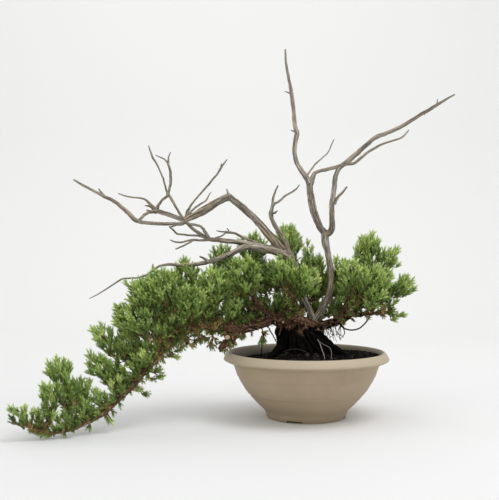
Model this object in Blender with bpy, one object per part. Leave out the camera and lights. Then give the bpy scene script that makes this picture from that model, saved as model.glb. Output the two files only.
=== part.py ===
"""Tanuki juniper bonsai in a shallow plastic bowl: a live juniper trained on bleached dead wood.

Metres, +Z up, origin at the centre of the pot's underside. The front faces -Y, and the long
branch cascades towards -X. Run it with blender --background --python part.py.
"""

import math
import random

import bmesh
import bpy
from mathutils import Matrix, Vector
from mathutils.bvhtree import BVHTree

# Driving dimensions of the bowl
RIM_RADIUS = 0.150
RIM_INNER_RADIUS = 0.138
POT_HEIGHT = 0.1185
FOOT_RADIUS = 0.0704
FLOOR_THICKNESS = 0.0025
BOWL_STEPS = 30
SLOT_WIDTH = 0.027
SLOT_HEIGHT = 0.004
SLOT_DEPTH = 0.016
SLOT_COUNT = 4
FIRST_SLOT_ANGLE = math.radians(-110.6)

# The bowl's profile as (radius, height): outside from foot to lip, then inside from rim to floor
BOWL_OUTSIDE = [
    (FOOT_RADIUS, 0.0), (FOOT_RADIUS + 0.0036, 0.0110), (0.0780, 0.0160), (0.0910, 0.0290),
    (0.1080, 0.0490), (0.1210, 0.0690), (0.1310, 0.0940), (RIM_RADIUS - 0.0060, 0.1000),
    (RIM_RADIUS, POT_HEIGHT - 0.0135), (RIM_RADIUS - 0.0055, POT_HEIGHT - 0.0050),
    (RIM_RADIUS - 0.0095, POT_HEIGHT)]
BOWL_INSIDE = [
    (RIM_INNER_RADIUS, POT_HEIGHT), (0.1345, POT_HEIGHT - 0.0060), (0.1275, 0.0940),
    (0.1172, 0.0690), (0.0868, 0.0290), (0.0715, 0.0145), (0.0660, FLOOR_THICKNESS)]

# Soil
SOIL_GAP = 0.0004
SOIL_EDGE_HEIGHT = 0.106
MOUND_RISE = 0.024
MOUND_SPREAD = 0.055
MOUND_CENTRE = Vector((-0.008, 0.000))
SOIL_TILT = 0.030
SOIL_BUMP = 0.0015
SOIL_WAVES = (Vector((170.0, 60.0)), Vector((-80.0, 190.0)))
SOIL_STEPS = 20
SOIL_RINGS = (1.0, 0.82, 0.62, 0.42, 0.22)
HOLE_CLEARANCE = 0.0007

# Wood: how uneven its girth is, and a tube wider than each radius has so many sides
DEADWOOD_WOBBLE = 0.06
BARK_WOBBLE = 0.05
SIDES_BY_RADIUS = ((0.0145, 8), (0.0065, 6), (0.0030, 4), (0.0, 3))

# Leafy shoots: three-sided, with a whorl of needles raised from every face
SHOOT_RADIUS = 0.0014
WHORL_HEIGHT = 0.0064
NEEDLE_OUT = 0.0046
NEEDLE_FORWARD = 0.0044
TIP_LENGTH = 0.0060
NODE_GAP = 0.0004
NECK = 0.0045
LEADER_WHORLS = 2
SIDE_WHORLS = 2
LEADER_REACH = 1.15
SPINE_RADIUS = 0.0042
SPINE_NEEDLE = 0.0060
SPINE_TAPER = 0.4
BAND_LENGTH = 0.012
STEM_RADIUS = 0.0012
FOOT_STEP = 0.00015
FOOT_TRIES = 18
SPINE_BEND = 0.35
BACKWARD_COST = 0.6
GOLDEN_TURN = math.radians(137.5)
FACES_TRIED = 6
SHOOT_OUT = 0.75
SHOOT_AHEAD = 0.6
SHOOT_UP = 0.15
SHOOT_JITTER = 0.15
FLOOR_CLEARANCE = 0.0006
SEED = 7

# Each route is a list of (x, y, z, radius) down the middle of the wood
DEADWOOD_ROUTES = {
    "foot": [
        (0.019, 0.006, 0.080, 0.015), (0.019, 0.005, 0.130, 0.0145), (0.018, 0.004, 0.157, 0.013),
        (0.015, 0.003, 0.173, 0.011)],
    "right_stem": [
        (0.015, 0.003, 0.171, 0.010), (0.022, 0.001, 0.182, 0.008), (0.031, -0.002, 0.199, 0.007),
        (0.039, -0.004, 0.219, 0.006), (0.044, -0.006, 0.240, 0.005), (0.043, -0.007, 0.264, 0.005),
        (0.041, -0.006, 0.290, 0.0055), (0.0355, -0.006, 0.317, 0.0067), (0.0335, -0.006, 0.333, 0.0075)],
    "left_fork": [
        (0.034, -0.006, 0.331, 0.0065), (0.024, -0.004, 0.345, 0.0068), (0.014, -0.002, 0.372, 0.0068),
        (0.009, 0.001, 0.399, 0.0068), (0.007, 0.003, 0.423, 0.0062)],
    "leader": [
        (0.007, 0.003, 0.421, 0.006), (-0.002, 0.006, 0.438, 0.0052), (-0.015, 0.011, 0.460, 0.0042),
        (-0.021, 0.015, 0.481, 0.0039), (-0.019, 0.019, 0.502, 0.0042), (-0.017, 0.021, 0.515, 0.0046),
        (-0.021, 0.023, 0.534, 0.004), (-0.023, 0.028, 0.570, 0.0038), (-0.030, 0.034, 0.610, 0.0032),
        (-0.036, 0.038, 0.647, 0.0025), (-0.037, 0.040, 0.675, 0.0018)],
    "leader_twig": [
        (0.003, 0.005, 0.432, 0.002), (0.016, 0.010, 0.456, 0.0016), (0.040, 0.017, 0.480, 0.0013),
        (0.048, 0.019, 0.495, 0.0012), (0.053, 0.021, 0.505, 0.0009)],
    "low_arm": [
        (0.008, 0.003, 0.420, 0.005), (0.014, 0.006, 0.436, 0.0042), (0.030, 0.013, 0.447, 0.0035),
        (0.062, 0.021, 0.456, 0.0032), (0.091, 0.027, 0.462, 0.0028), (0.123, 0.033, 0.487, 0.0024),
        (0.163, 0.038, 0.505, 0.002), (0.180, 0.040, 0.511, 0.0018), (0.193, 0.042, 0.525, 0.0012)],
    "right_arm": [
        (0.034, -0.006, 0.329, 0.0065), (0.0435, -0.010, 0.335, 0.0062), (0.0455, -0.015, 0.352, 0.0054),
        (0.0455, -0.019, 0.388, 0.0051), (0.050, -0.025, 0.432, 0.0048), (0.058, -0.028, 0.448, 0.0047),
        (0.090, -0.036, 0.474, 0.0044), (0.123, -0.043, 0.501, 0.004), (0.172, -0.052, 0.522, 0.0035),
        (0.211, -0.058, 0.546, 0.0032), (0.233, -0.061, 0.560, 0.0024), (0.255, -0.064, 0.573, 0.0016)],
    "right_stub": [
        (0.047, -0.019, 0.384, 0.0036), (0.054, -0.022, 0.396, 0.0027), (0.071, -0.030, 0.415, 0.0014)],
    "middle_stem": [
        (0.013, 0.003, 0.173, 0.0075), (0.007, 0.002, 0.193, 0.0055), (-0.004, 0.000, 0.217, 0.005),
        (-0.016, -0.002, 0.243, 0.0048), (-0.024, -0.003, 0.275, 0.0055), (-0.032, 0.000, 0.298, 0.0075)],
    "middle_twig": [
        (-0.032, 0.000, 0.298, 0.0055), (-0.038, -0.002, 0.319, 0.0047), (-0.057, -0.006, 0.346, 0.0042),
        (-0.064, -0.008, 0.366, 0.0044), (-0.061, -0.010, 0.382, 0.0034)],
    "middle_twig_left": [
        (-0.061, -0.010, 0.381, 0.0026), (-0.060, -0.013, 0.396, 0.0022), (-0.051, -0.018, 0.418, 0.0013)],
    "middle_twig_right": [
        (-0.061, -0.010, 0.381, 0.0026), (-0.039, -0.004, 0.3985, 0.0021), (-0.021, 0.001, 0.4095, 0.0017),
        (-0.012, 0.005, 0.420, 0.0011)],
    "great_branch": [
        (-0.031, 0.000, 0.288, 0.0082), (-0.042, -0.001, 0.299, 0.0084), (-0.065, -0.003, 0.327, 0.0079),
        (-0.092, -0.006, 0.357, 0.0077), (-0.120, -0.009, 0.383, 0.0075), (-0.140, -0.011, 0.398, 0.0074)],
    "elbow_spur": [
        (-0.139, -0.011, 0.398, 0.0045), (-0.142, -0.012, 0.407, 0.0022), (-0.144, -0.012, 0.413, 0.001)],
    "elbow_arm": [
        (-0.138, -0.011, 0.398, 0.007), (-0.157, -0.015, 0.389, 0.007), (-0.180, -0.020, 0.375, 0.008),
        (-0.201, -0.026, 0.362, 0.0068), (-0.218, -0.030, 0.354, 0.006)],
    "far_arm": [
        (-0.215, -0.029, 0.354, 0.005), (-0.226, -0.032, 0.349, 0.0042), (-0.262, -0.040, 0.349, 0.0032),
        (-0.290, -0.046, 0.350, 0.0037), (-0.303, -0.049, 0.354, 0.0041), (-0.332, -0.057, 0.3815, 0.0034),
        (-0.353, -0.063, 0.394, 0.0031), (-0.390, -0.073, 0.4135, 0.0023), (-0.406, -0.077, 0.423, 0.0016)],
    "far_spur": [
        (-0.355, -0.063, 0.395, 0.0027), (-0.361, -0.064, 0.402, 0.0018), (-0.365, -0.065, 0.407, 0.0011)],
    "upper_arm": [
        (-0.217, -0.028, 0.354, 0.0048), (-0.243, -0.024, 0.3635, 0.0044), (-0.272, -0.019, 0.375, 0.0044),
        (-0.281, -0.017, 0.384, 0.0026), (-0.298, -0.015, 0.394, 0.0017), (-0.321, -0.013, 0.3975, 0.0015),
        (-0.339, -0.011, 0.4035, 0.001)],
    "upper_loop": [
        (-0.269, -0.019, 0.372, 0.0036), (-0.284, -0.033, 0.367, 0.0030), (-0.295, -0.047, 0.354, 0.003)],
    "upper_stub": [
        (-0.273, -0.019, 0.375, 0.0028), (-0.282, -0.018, 0.378, 0.002), (-0.290, -0.015, 0.382, 0.0011)],
    "twin_base": [
        (-0.221, -0.030, 0.357, 0.0034), (-0.234, -0.035, 0.380, 0.0025), (-0.249, -0.039, 0.402, 0.0024)],
    "twin_root": [
        (-0.268, -0.019, 0.374, 0.0034), (-0.256, -0.031, 0.390, 0.0024), (-0.245, -0.039, 0.400, 0.0024)],
    "twin_left": [
        (-0.247, -0.039, 0.399, 0.002), (-0.254, -0.036, 0.424, 0.0016), (-0.265, -0.033, 0.451, 0.0016),
        (-0.275, -0.031, 0.467, 0.0018), (-0.282, -0.029, 0.488, 0.0009)],
    "twin_right": [
        (-0.247, -0.039, 0.398, 0.0025), (-0.241, -0.042, 0.418, 0.0026), (-0.242, -0.044, 0.443, 0.0024),
        (-0.246, -0.045, 0.455, 0.0023)],
    "twin_right_fork": [
        (-0.245, -0.045, 0.453, 0.0018), (-0.253, -0.047, 0.462, 0.0014), (-0.268, -0.049, 0.468, 0.0008)],
    "twin_right_tip": [
        (-0.246, -0.045, 0.453, 0.0018), (-0.245, -0.047, 0.466, 0.0013), (-0.241, -0.049, 0.474, 0.0008)],
    "rising_twig": [
        (-0.215, -0.029, 0.357, 0.0034), (-0.213, -0.031, 0.369, 0.0025), (-0.188, -0.039, 0.402, 0.0019),
        (-0.159, -0.047, 0.436, 0.0018), (-0.142, -0.053, 0.461, 0.001)],
    "broken_twig": [
        (-0.211, -0.028, 0.364, 0.0026), (-0.203, -0.026, 0.374, 0.0019), (-0.180, -0.018, 0.390, 0.0016),
        (-0.171, -0.015, 0.404, 0.0008)],
    "lower_branch": [
        (-0.029, 0.000, 0.291, 0.0075), (-0.071, -0.006, 0.307, 0.0056), (-0.119, -0.015, 0.316, 0.0047),
        (-0.166, -0.024, 0.320, 0.0043), (-0.190, -0.029, 0.331, 0.0034), (-0.213, -0.030, 0.349, 0.0032),
        (-0.218, -0.030, 0.354, 0.0034)],
    "arch": [
        (-0.173, -0.026, 0.321, 0.003), (-0.180, -0.035, 0.332, 0.0029), (-0.191, -0.038, 0.344, 0.0026),
        (-0.214, -0.031, 0.349, 0.0026)],
    "lower_fork": [
        (-0.177, -0.026, 0.323, 0.0026), (-0.192, -0.023, 0.325, 0.0022), (-0.223, -0.021, 0.329, 0.0018),
        (-0.239, -0.019, 0.338, 0.0016), (-0.247, -0.018, 0.346, 0.001)],
    "low_twig": [
        (-0.171, -0.025, 0.320, 0.003), (-0.190, -0.032, 0.319, 0.0024), (-0.211, -0.040, 0.319, 0.0018),
        (-0.225, -0.044, 0.315, 0.0016), (-0.243, -0.048, 0.320, 0.001)],
    "low_twig_fork": [
        (-0.202, -0.037, 0.319, 0.002), (-0.222, -0.044, 0.308, 0.0018), (-0.233, -0.048, 0.303, 0.0012)],
    "fine_twig": [
        (-0.080, -0.008, 0.309, 0.0036), (-0.098, -0.002, 0.317, 0.0028), (-0.129, 0.007, 0.332, 0.0022),
        (-0.145, 0.010, 0.335, 0.0017), (-0.163, 0.014, 0.337, 0.0009)],
    "fine_twig_fork": [
        (-0.133, 0.008, 0.333, 0.0018), (-0.150, 0.002, 0.330, 0.0014), (-0.165, -0.004, 0.324, 0.001)],
    "long_branch": [
        (-0.027, 0.000, 0.289, 0.008), (-0.071, -0.010, 0.302, 0.0064), (-0.104, -0.020, 0.308, 0.006),
        (-0.120, -0.024, 0.303, 0.0056), (-0.161, -0.036, 0.285, 0.0046), (-0.201, -0.046, 0.277, 0.0034),
        (-0.240, -0.057, 0.276, 0.0027), (-0.258, -0.062, 0.273, 0.002), (-0.280, -0.069, 0.259, 0.0017),
        (-0.323, -0.080, 0.251, 0.0015), (-0.342, -0.085, 0.239, 0.0013), (-0.375, -0.094, 0.219, 0.0008)],
    "long_spur": [
        (-0.174, -0.040, 0.282, 0.0032), (-0.182, -0.042, 0.287, 0.0023), (-0.190, -0.044, 0.291, 0.0014)],
}
LIVE_ROUTES = {
    "trunk": [
        (-0.034, 0.000, 0.074, 0.019), (-0.034, 0.000, 0.128, 0.020), (-0.034, -0.001, 0.150, 0.0205),
        (-0.033, -0.003, 0.167, 0.020), (-0.028, -0.005, 0.178, 0.016)],
    "knot": [
        (-0.031, -0.006, 0.172, 0.015), (-0.017, -0.016, 0.174, 0.012), (0.000, -0.021, 0.172, 0.010)],
    "cascade": [
        (-0.029, -0.004, 0.171, 0.014), (-0.048, -0.008, 0.177, 0.0125), (-0.071, -0.015, 0.175, 0.0113),
        (-0.118, -0.031, 0.163, 0.0106), (-0.167, -0.052, 0.169, 0.0095), (-0.192, -0.064, 0.172, 0.009),
        (-0.215, -0.076, 0.168, 0.0084), (-0.235, -0.087, 0.155, 0.0076), (-0.251, -0.097, 0.135, 0.0068),
        (-0.286, -0.117, 0.088, 0.0056), (-0.325, -0.139, 0.048, 0.0043), (-0.344, -0.150, 0.032, 0.0036),
        (-0.364, -0.161, 0.022, 0.0031), (-0.383, -0.171, 0.014, 0.0027), (-0.403, -0.182, 0.010, 0.0023),
        (-0.423, -0.193, 0.012, 0.002), (-0.443, -0.204, 0.020, 0.0017), (-0.457, -0.212, 0.029, 0.0014)],
    "cut_stub": [
        (-0.114, -0.030, 0.163, 0.0095), (-0.133, -0.040, 0.149, 0.0088), (-0.147, -0.046, 0.135, 0.0066),
        (-0.154, -0.050, 0.126, 0.0045)],
    "pruned_knob": [
        (-0.140, -0.042, 0.147, 0.0054), (-0.142, -0.054, 0.150, 0.0052)],
    "left_riser": [
        (-0.042, -0.008, 0.178, 0.007), (-0.062, -0.020, 0.185, 0.0058), (-0.079, -0.027, 0.196, 0.005),
        (-0.091, -0.031, 0.209, 0.0044), (-0.101, -0.034, 0.230, 0.0032)],
    "middle_riser": [
        (-0.028, -0.002, 0.173, 0.009), (-0.032, 0.012, 0.203, 0.0056), (-0.034, 0.020, 0.232, 0.0040)],
    "front_riser": [
        (-0.019, -0.014, 0.174, 0.008), (-0.022, -0.027, 0.200, 0.0046), (-0.027, -0.034, 0.222, 0.0034)],
    "back_riser": [
        (-0.030, 0.002, 0.170, 0.008), (-0.012, 0.027, 0.188, 0.005), (0.012, 0.036, 0.210, 0.0038),
        (0.022, 0.034, 0.235, 0.0026)],
    "right_branch": [
        (-0.005, -0.020, 0.172, 0.010), (0.023, -0.025, 0.166, 0.0085), (0.050, -0.022, 0.173, 0.0075),
        (0.076, -0.015, 0.184, 0.0062), (0.098, -0.008, 0.200, 0.005), (0.108, -0.004, 0.226, 0.0038),
        (0.112, -0.002, 0.259, 0.0026)],
    "right_low": [
        (0.078, -0.014, 0.185, 0.0048), (0.108, -0.015, 0.187, 0.0038), (0.145, -0.016, 0.189, 0.0022)],
    "right_outer": [
        (0.095, -0.009, 0.197, 0.0042), (0.120, -0.008, 0.214, 0.0032), (0.138, -0.007, 0.223, 0.0024)],
    "right_front": [
        (0.056, -0.021, 0.175, 0.0058), (0.066, -0.031, 0.198, 0.0043), (0.075, -0.037, 0.222, 0.003)],
    "right_back": [
        (0.066, -0.018, 0.180, 0.0052), (0.078, 0.012, 0.198, 0.0042), (0.088, 0.034, 0.214, 0.003)],
    "bare_twig": [
        (0.060, -0.022, 0.171, 0.0022), (0.064, -0.024, 0.163, 0.0015), (0.080, -0.026, 0.159, 0.0014),
        (0.098, -0.025, 0.165, 0.0014), (0.110, -0.021, 0.178, 0.0014), (0.113, -0.016, 0.187, 0.0014)],
    "front_root": [
        (-0.010, -0.021, 0.170, 0.010), (0.008, -0.026, 0.150, 0.008), (0.032, -0.028, 0.134, 0.0058),
        (0.060, -0.031, 0.119, 0.0042), (0.078, -0.034, 0.104, 0.003)],
    "left_root": [
        (-0.032, -0.008, 0.156, 0.013), (-0.050, -0.027, 0.138, 0.008), (-0.064, -0.042, 0.122, 0.0048),
        (-0.074, -0.054, 0.104, 0.003)],
    "middle_root": [
        (-0.020, -0.014, 0.160, 0.010), (-0.014, -0.032, 0.142, 0.0068), (-0.009, -0.048, 0.126, 0.0045),
        (-0.006, -0.060, 0.108, 0.003)],
    "back_root": [
        (-0.030, 0.006, 0.152, 0.013), (-0.040, 0.030, 0.134, 0.0075), (-0.048, 0.048, 0.116, 0.0045),
        (-0.052, 0.058, 0.102, 0.003)],
}

# Leafy sprays: (x, y, z, radius, the way they lean as x, y, z, number of shoots)
SPRAYS = {
    "right": [
        (0.114, 0.002, 0.296, 0.032, 0.1, 0.0, 1.0, 6), (0.150, -0.016, 0.277, 0.026, 0.6, -0.2, 0.9, 6),
        (0.163, -0.004, 0.234, 0.028, 1.0, 0.0, 0.5, 6), (0.080, -0.040, 0.254, 0.026, -0.3, -0.5, 1.0, 6),
        (0.118, -0.052, 0.240, 0.030, 0.2, -0.8, 0.8, 6), (0.094, 0.044, 0.242, 0.028, -0.1, 0.7, 0.9, 5),
        (0.146, 0.046, 0.249, 0.028, 0.6, 0.7, 0.8, 5), (0.167, -0.017, 0.187, 0.015, 1.0, -0.1, 0.0, 3),
        (0.112, -0.038, 0.203, 0.018, 0.5, -0.8, 0.2, 4)],
    "crown": [
        (-0.032, 0.020, 0.312, 0.025, -0.1, 0.3, 1.0, 6), (0.003, 0.012, 0.305, 0.017, 0.0, 0.1, 1.0, 4),
        (0.016, 0.024, 0.272, 0.023, 0.1, 0.4, 1.0, 5), (-0.045, -0.044, 0.261, 0.026, -0.3, -0.6, 0.9, 6),
        (-0.005, -0.046, 0.243, 0.026, 0.2, -0.8, 0.8, 5), (0.040, 0.046, 0.236, 0.027, 0.4, 0.7, 0.8, 5),
        (-0.022, 0.050, 0.252, 0.029, -0.2, 0.8, 0.8, 5), (0.058, 0.030, 0.262, 0.018, 0.0, 0.0, 1.0, 3)],
    "left": [
        (-0.112, -0.066, 0.254, 0.030, 0.1, -0.8, 0.8, 6), (-0.162, -0.072, 0.236, 0.030, -0.1, -0.8, 0.8, 6),
        (-0.098, 0.026, 0.303, 0.024, 0.0, 0.3, 1.0, 5), (-0.150, 0.014, 0.278, 0.024, -0.1, 0.3, 1.0, 5),
        (-0.076, 0.024, 0.249, 0.027, 0.0, 0.5, 0.9, 4), (-0.133, 0.030, 0.228, 0.029, -0.1, 0.8, 0.7, 5),
        (-0.182, 0.000, 0.214, 0.026, -0.2, 0.6, 0.8, 5)],
    "shoulder": [
        (-0.214, -0.036, 0.258, 0.022, -0.1, 0.2, 1.0, 5), (-0.246, -0.102, 0.236, 0.030, -0.2, -0.7, 0.9, 6),
        (-0.203, -0.100, 0.212, 0.028, 0.1, -0.9, 0.6, 6), (-0.290, -0.106, 0.229, 0.027, -0.6, -0.3, 0.9, 6),
        (-0.298, -0.118, 0.184, 0.029, -1.0, -0.4, 0.5, 6), (-0.272, -0.048, 0.220, 0.029, -0.3, 0.7, 0.9, 5),
        (-0.228, -0.036, 0.202, 0.026, 0.0, 0.9, 0.6, 5)],
    "cascade": [
        (-0.345, -0.132, 0.155, 0.019, -0.9, -0.1, 0.8, 5), (-0.309, -0.104, 0.138, 0.025, -0.6, 0.5, 0.8, 5),
        (-0.352, -0.146, 0.112, 0.022, -0.8, -0.2, 0.9, 5), (-0.333, -0.108, 0.094, 0.022, -0.3, 0.8, 0.7, 5),
        (-0.408, -0.172, 0.101, 0.023, -0.1, 0.0, 1.0, 5), (-0.417, -0.196, 0.066, 0.021, -0.7, -0.5, 0.8, 5),
        (-0.380, -0.150, 0.068, 0.023, 0.0, 0.6, 0.9, 5), (-0.436, -0.198, 0.039, 0.013, -0.8, 0.1, 0.8, 3),
        (-0.466, -0.215, 0.043, 0.013, -1.0, -0.2, 0.6, 3)],
    "sprout": [
        (-0.078, -0.028, 0.147, 0.009, 0.0, -0.3, -1.0, 2)],
}


def clear_scene():
    for obj in list(bpy.data.objects):
        bpy.data.objects.remove(obj, do_unlink=True)


def material(name, colour, roughness, metallic=0.0):
    made = bpy.data.materials.new(name)
    made.use_nodes = True
    shader = made.node_tree.nodes["Principled BSDF"]
    shader.inputs["Base Color"].default_value = (*colour, 1.0)
    shader.inputs["Roughness"].default_value = roughness
    shader.inputs["Metallic"].default_value = metallic
    return made


def new_object(name, bm, surface=None):
    """An object with this bmesh as its mesh, its faces turned outwards."""
    bmesh.ops.recalc_face_normals(bm, faces=bm.faces)
    mesh = bpy.data.meshes.new(name)
    bm.to_mesh(mesh)
    bm.free()
    obj = bpy.data.objects.new(name, mesh)
    bpy.context.scene.collection.objects.link(obj)
    if surface:
        mesh.materials.append(surface)
    return obj


def combine(target, others, operation, solver):
    """Applies one Boolean of the others to the target, and removes them."""
    group = bpy.data.collections.new(target.name + "_pieces")
    bpy.context.scene.collection.children.link(group)
    for other in others:
        group.objects.link(other)
    modifier = target.modifiers.new(operation.title(), "BOOLEAN")
    modifier.operation = operation
    modifier.operand_type = "COLLECTION"
    modifier.collection = group
    modifier.solver = solver
    graph = bpy.context.evaluated_depsgraph_get()
    joined = bpy.data.meshes.new_from_object(target.evaluated_get(graph))
    surface = target.data.materials[0] if target.data.materials else None
    target.modifiers.clear()
    target.data = joined
    keep_main_body(joined)
    joined.materials.clear()
    if surface:
        joined.materials.append(surface)
    for other in others:
        bpy.data.objects.remove(other, do_unlink=True)
    bpy.data.collections.remove(group)


def keep_main_body(mesh):
    """Drops loose scraps and the walls of hollows that a union sealed."""
    bm = bmesh.new()
    bm.from_mesh(mesh)
    bodies = []
    unseen = set(bm.faces)
    while unseen:
        front = [unseen.pop()]
        body = list(front)
        while front:
            face = front.pop()
            for near in {other for edge in face.edges for other in edge.link_faces} & unseen:
                unseen.discard(near)
                front.append(near)
                body.append(near)
        bodies.append(body)
    bodies.sort(key=len)
    scraps = [face for body in bodies[:-1] for face in body]
    bmesh.ops.delete(bm, geom=scraps, context="FACES")
    bm.to_mesh(mesh)
    bm.free()


def shade_round(obj, degrees):
    obj.data.shade_smooth()
    obj.data.set_sharp_from_angle(angle=math.radians(degrees))


def turned(name, profile, steps, surface):
    """A body turned about Z from a profile that starts and ends on the axis."""
    bm = bmesh.new()
    verts = [bm.verts.new((radius, 0.0, height)) for radius, height in profile]
    edges = [bm.edges.new(pair) for pair in zip(verts, verts[1:])]
    bmesh.ops.spin(bm, geom=verts + edges, cent=(0, 0, 0), axis=(0, 0, 1), steps=steps,
                   angle=math.tau, use_merge=True)
    bmesh.ops.remove_doubles(bm, verts=bm.verts, dist=1e-6)
    return new_object(name, bm, surface)


# The bowl

def slot_cutter(index):
    angle = FIRST_SLOT_ANGLE + index * math.tau / SLOT_COUNT
    bm = bmesh.new()
    bmesh.ops.create_cube(bm, size=1.0)
    cutter = new_object(f"slot_cutter_{index}", bm)
    reach = Vector((math.cos(angle), math.sin(angle), 0.0))
    cutter.data.transform(placing(reach * FOOT_RADIUS, angle, (SLOT_DEPTH, SLOT_WIDTH, 2 * SLOT_HEIGHT)))
    cutter.hide_render = True
    cutter.display_type = "WIRE"
    return cutter


def placing(place, angle, size):
    return (Matrix.Translation(place) @ Matrix.Rotation(angle, 4, "Z")
            @ Matrix.Diagonal((*size, 1.0)))


def make_pot():
    profile = [(0.0, 0.0), *BOWL_OUTSIDE, *BOWL_INSIDE, (0.0, FLOOR_THICKNESS)]
    pot = turned("pot", profile, BOWL_STEPS, material("taupe_plastic", (0.34, 0.29, 0.22), 0.45))
    combine(pot, [slot_cutter(index) for index in range(SLOT_COUNT)], "DIFFERENCE", "EXACT")
    shade_round(pot, 35)
    return pot


# Wood

def tube(name, route, sides, grow=0.0, wobble=0.0, seed=0):
    """A closed tapering tube along (x, y, z, radius) points, its ends flat."""
    dice = random.Random(seed)
    points = [Vector(point[:3]) for point in route]
    bm = bmesh.new()
    across = None
    rings = []
    for index, point in enumerate(points):
        ahead = points[min(index + 1, len(points) - 1)] - points[max(index - 1, 0)]
        ahead.normalize()
        if across is None:
            across = ahead.orthogonal().normalized()
        across = (across - ahead * across.dot(ahead)).normalized()
        other = ahead.cross(across)
        ring = []
        for side in range(sides):
            angle = math.tau * side / sides
            radius = route[index][3] * (1 + dice.uniform(-wobble, wobble)) + grow
            ring.append(bm.verts.new(point + radius * (math.cos(angle) * across + math.sin(angle) * other)))
        rings.append(ring)
    for lower, upper in zip(rings, rings[1:]):
        for side in range(sides):
            after = (side + 1) % sides
            bm.faces.new((lower[side], lower[after], upper[after]))
            bm.faces.new((lower[side], upper[after], upper[side]))
    bm.faces.new(list(reversed(rings[0])))
    bm.faces.new(rings[-1])
    return new_object(name, bm)


def side_count(route):
    widest = max(point[3] for point in route)
    return next(sides for radius, sides in SIDES_BY_RADIUS if widest > radius)


def make_wood(name, routes, surface, wobble):
    tubes = [tube(f"{name}_{part}", route, side_count(route), 0.0, wobble, SEED + index)
             for index, (part, route) in enumerate(routes.items())]
    wood, others = tubes[0], tubes[1:]
    wood.name = name
    wood.data.materials.append(surface)
    combine(wood, others, "UNION", "EXACT")
    shade_round(wood, 50)
    return wood


# Soil

def soil_height(x, y):
    mound = (Vector((x, y)) - MOUND_CENTRE).length / MOUND_SPREAD
    bump = SOIL_BUMP * sum(math.sin(wave.dot((x, y))) for wave in SOIL_WAVES)
    return SOIL_EDGE_HEIGHT + MOUND_RISE * math.exp(-mound * mound) + SOIL_TILT * x + bump


def soil_radius(height):
    """The soil's outer radius at a height, clear of the flats between the bowl's corners."""
    for (wide, high), (narrow, low) in zip(BOWL_INSIDE, BOWL_INSIDE[1:]):
        if low <= height <= high:
            corner = narrow + (wide - narrow) * (height - low) / (high - low)
            return corner * math.cos(math.pi / BOWL_STEPS) - SOIL_GAP
    raise ValueError(height)


def make_soil():
    bm = bmesh.new()
    bottom = FLOOR_THICKNESS + SOIL_GAP
    levels = [bottom, *(height for radius, height in reversed(BOWL_INSIDE[2:-1]))]
    rings = [(soil_radius(height), height) for height in levels]
    edge = soil_radius(SOIL_EDGE_HEIGHT - SOIL_TILT * RIM_INNER_RADIUS - SOIL_BUMP)
    rings.extend((edge * share, None) for share in SOIL_RINGS)
    layers = []
    for reach, height in rings:
        layer = []
        for step in range(SOIL_STEPS):
            angle = math.tau * step / SOIL_STEPS
            x, y = reach * math.cos(angle), reach * math.sin(angle)
            layer.append(bm.verts.new((x, y, soil_height(x, y) if height is None else height)))
        layers.append(layer)
    for lower, upper in zip(layers, layers[1:]):
        for step in range(SOIL_STEPS):
            after = (step + 1) % SOIL_STEPS
            bm.faces.new((lower[step], lower[after], upper[after]))
            bm.faces.new((lower[step], upper[after], upper[step]))
    bm.faces.new(list(reversed(layers[0])))
    top = bm.verts.new((0.0, 0.0, soil_height(0.0, 0.0)))
    for step in range(SOIL_STEPS):
        bm.faces.new((layers[-1][step], layers[-1][(step + 1) % SOIL_STEPS], top))
    soil = new_object("soil", bm, material("dark_soil", (0.02, 0.016, 0.012), 0.95))
    holes = [tube(f"hole_{index}", route, side_count(route), HOLE_CLEARANCE)
             for index, route in enumerate(buried_routes())]
    for hole in holes:
        hole.hide_render = True
        hole.display_type = "WIRE"
    combine(soil, holes, "DIFFERENCE", "EXACT")
    return soil


def buried_routes():
    """The stems and roots that stand in the soil, each drawn a little longer than it is."""
    names = ("trunk", "front_root", "left_root", "middle_root", "back_root")
    found = [LIVE_ROUTES[name] for name in names] + [DEADWOOD_ROUTES["foot"]]
    return [stretched(route) for route in found]


def stretched(route):
    points = list(route)
    low = 0 if points[0][2] < points[-1][2] else -1
    near = points[1] if low == 0 else points[-2]
    end = Vector(points[low][:3])
    away = (end - Vector(near[:3])).normalized() * HOLE_CLEARANCE
    points[low] = (*(end + away), points[low][3])
    return points


# Foliage

def next_ring(bm, lower, centre, way, radius):
    """A ring of three points round the way, each between two points of the ring below it."""
    upper = []
    for side in range(3):
        between = (lower[side].co + lower[(side + 1) % 3].co) / 2 - centre
        between = (between - way * between.dot(way)).normalized()
        upper.append(bm.verts.new(centre + between * radius))
    return upper


def add_band(bm, lower, upper):
    """The six faces between one ring of three points and the next."""
    faces = []
    for side in range(3):
        after = (side + 1) % 3
        faces.append(bm.faces.new((lower[side], lower[after], upper[side])))
        faces.append(bm.faces.new((upper[side], lower[after], upper[after])))
    return faces


def raise_needles(bm, faces, out, forward):
    for face in faces:
        face.normal_update()
    needles = bmesh.ops.poke(bm, faces=faces, offset=out)
    for needle in needles["verts"]:
        needle.co += forward


def raise_shoot(bm, face, way, whorls, swell=0.0):
    """Turns a three-sided face into a shoot: a bare neck, whorls of needles and a pointed tip."""
    lower = list(face.verts)
    centre = face.calc_center_median() + way * NECK
    bm.faces.remove(face)
    upper = next_ring(bm, lower, centre, way, SHOOT_RADIUS + swell)
    add_band(bm, lower, upper)
    leaves = []
    for level in range(1, whorls + 1):
        lower = upper
        centre = centre + way * WHORL_HEIGHT
        upper = next_ring(bm, lower, centre, way, (SHOOT_RADIUS + swell) * (1 - 0.1 * level))
        leaves.extend(add_band(bm, lower, upper))
    end = bm.verts.new(centre + way * (TIP_LENGTH + swell))
    for side in range(3):
        bm.faces.new((upper[side], upper[(side + 1) % 3], end))
    raise_needles(bm, leaves, NEEDLE_OUT + swell, way * NEEDLE_FORWARD)


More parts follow.
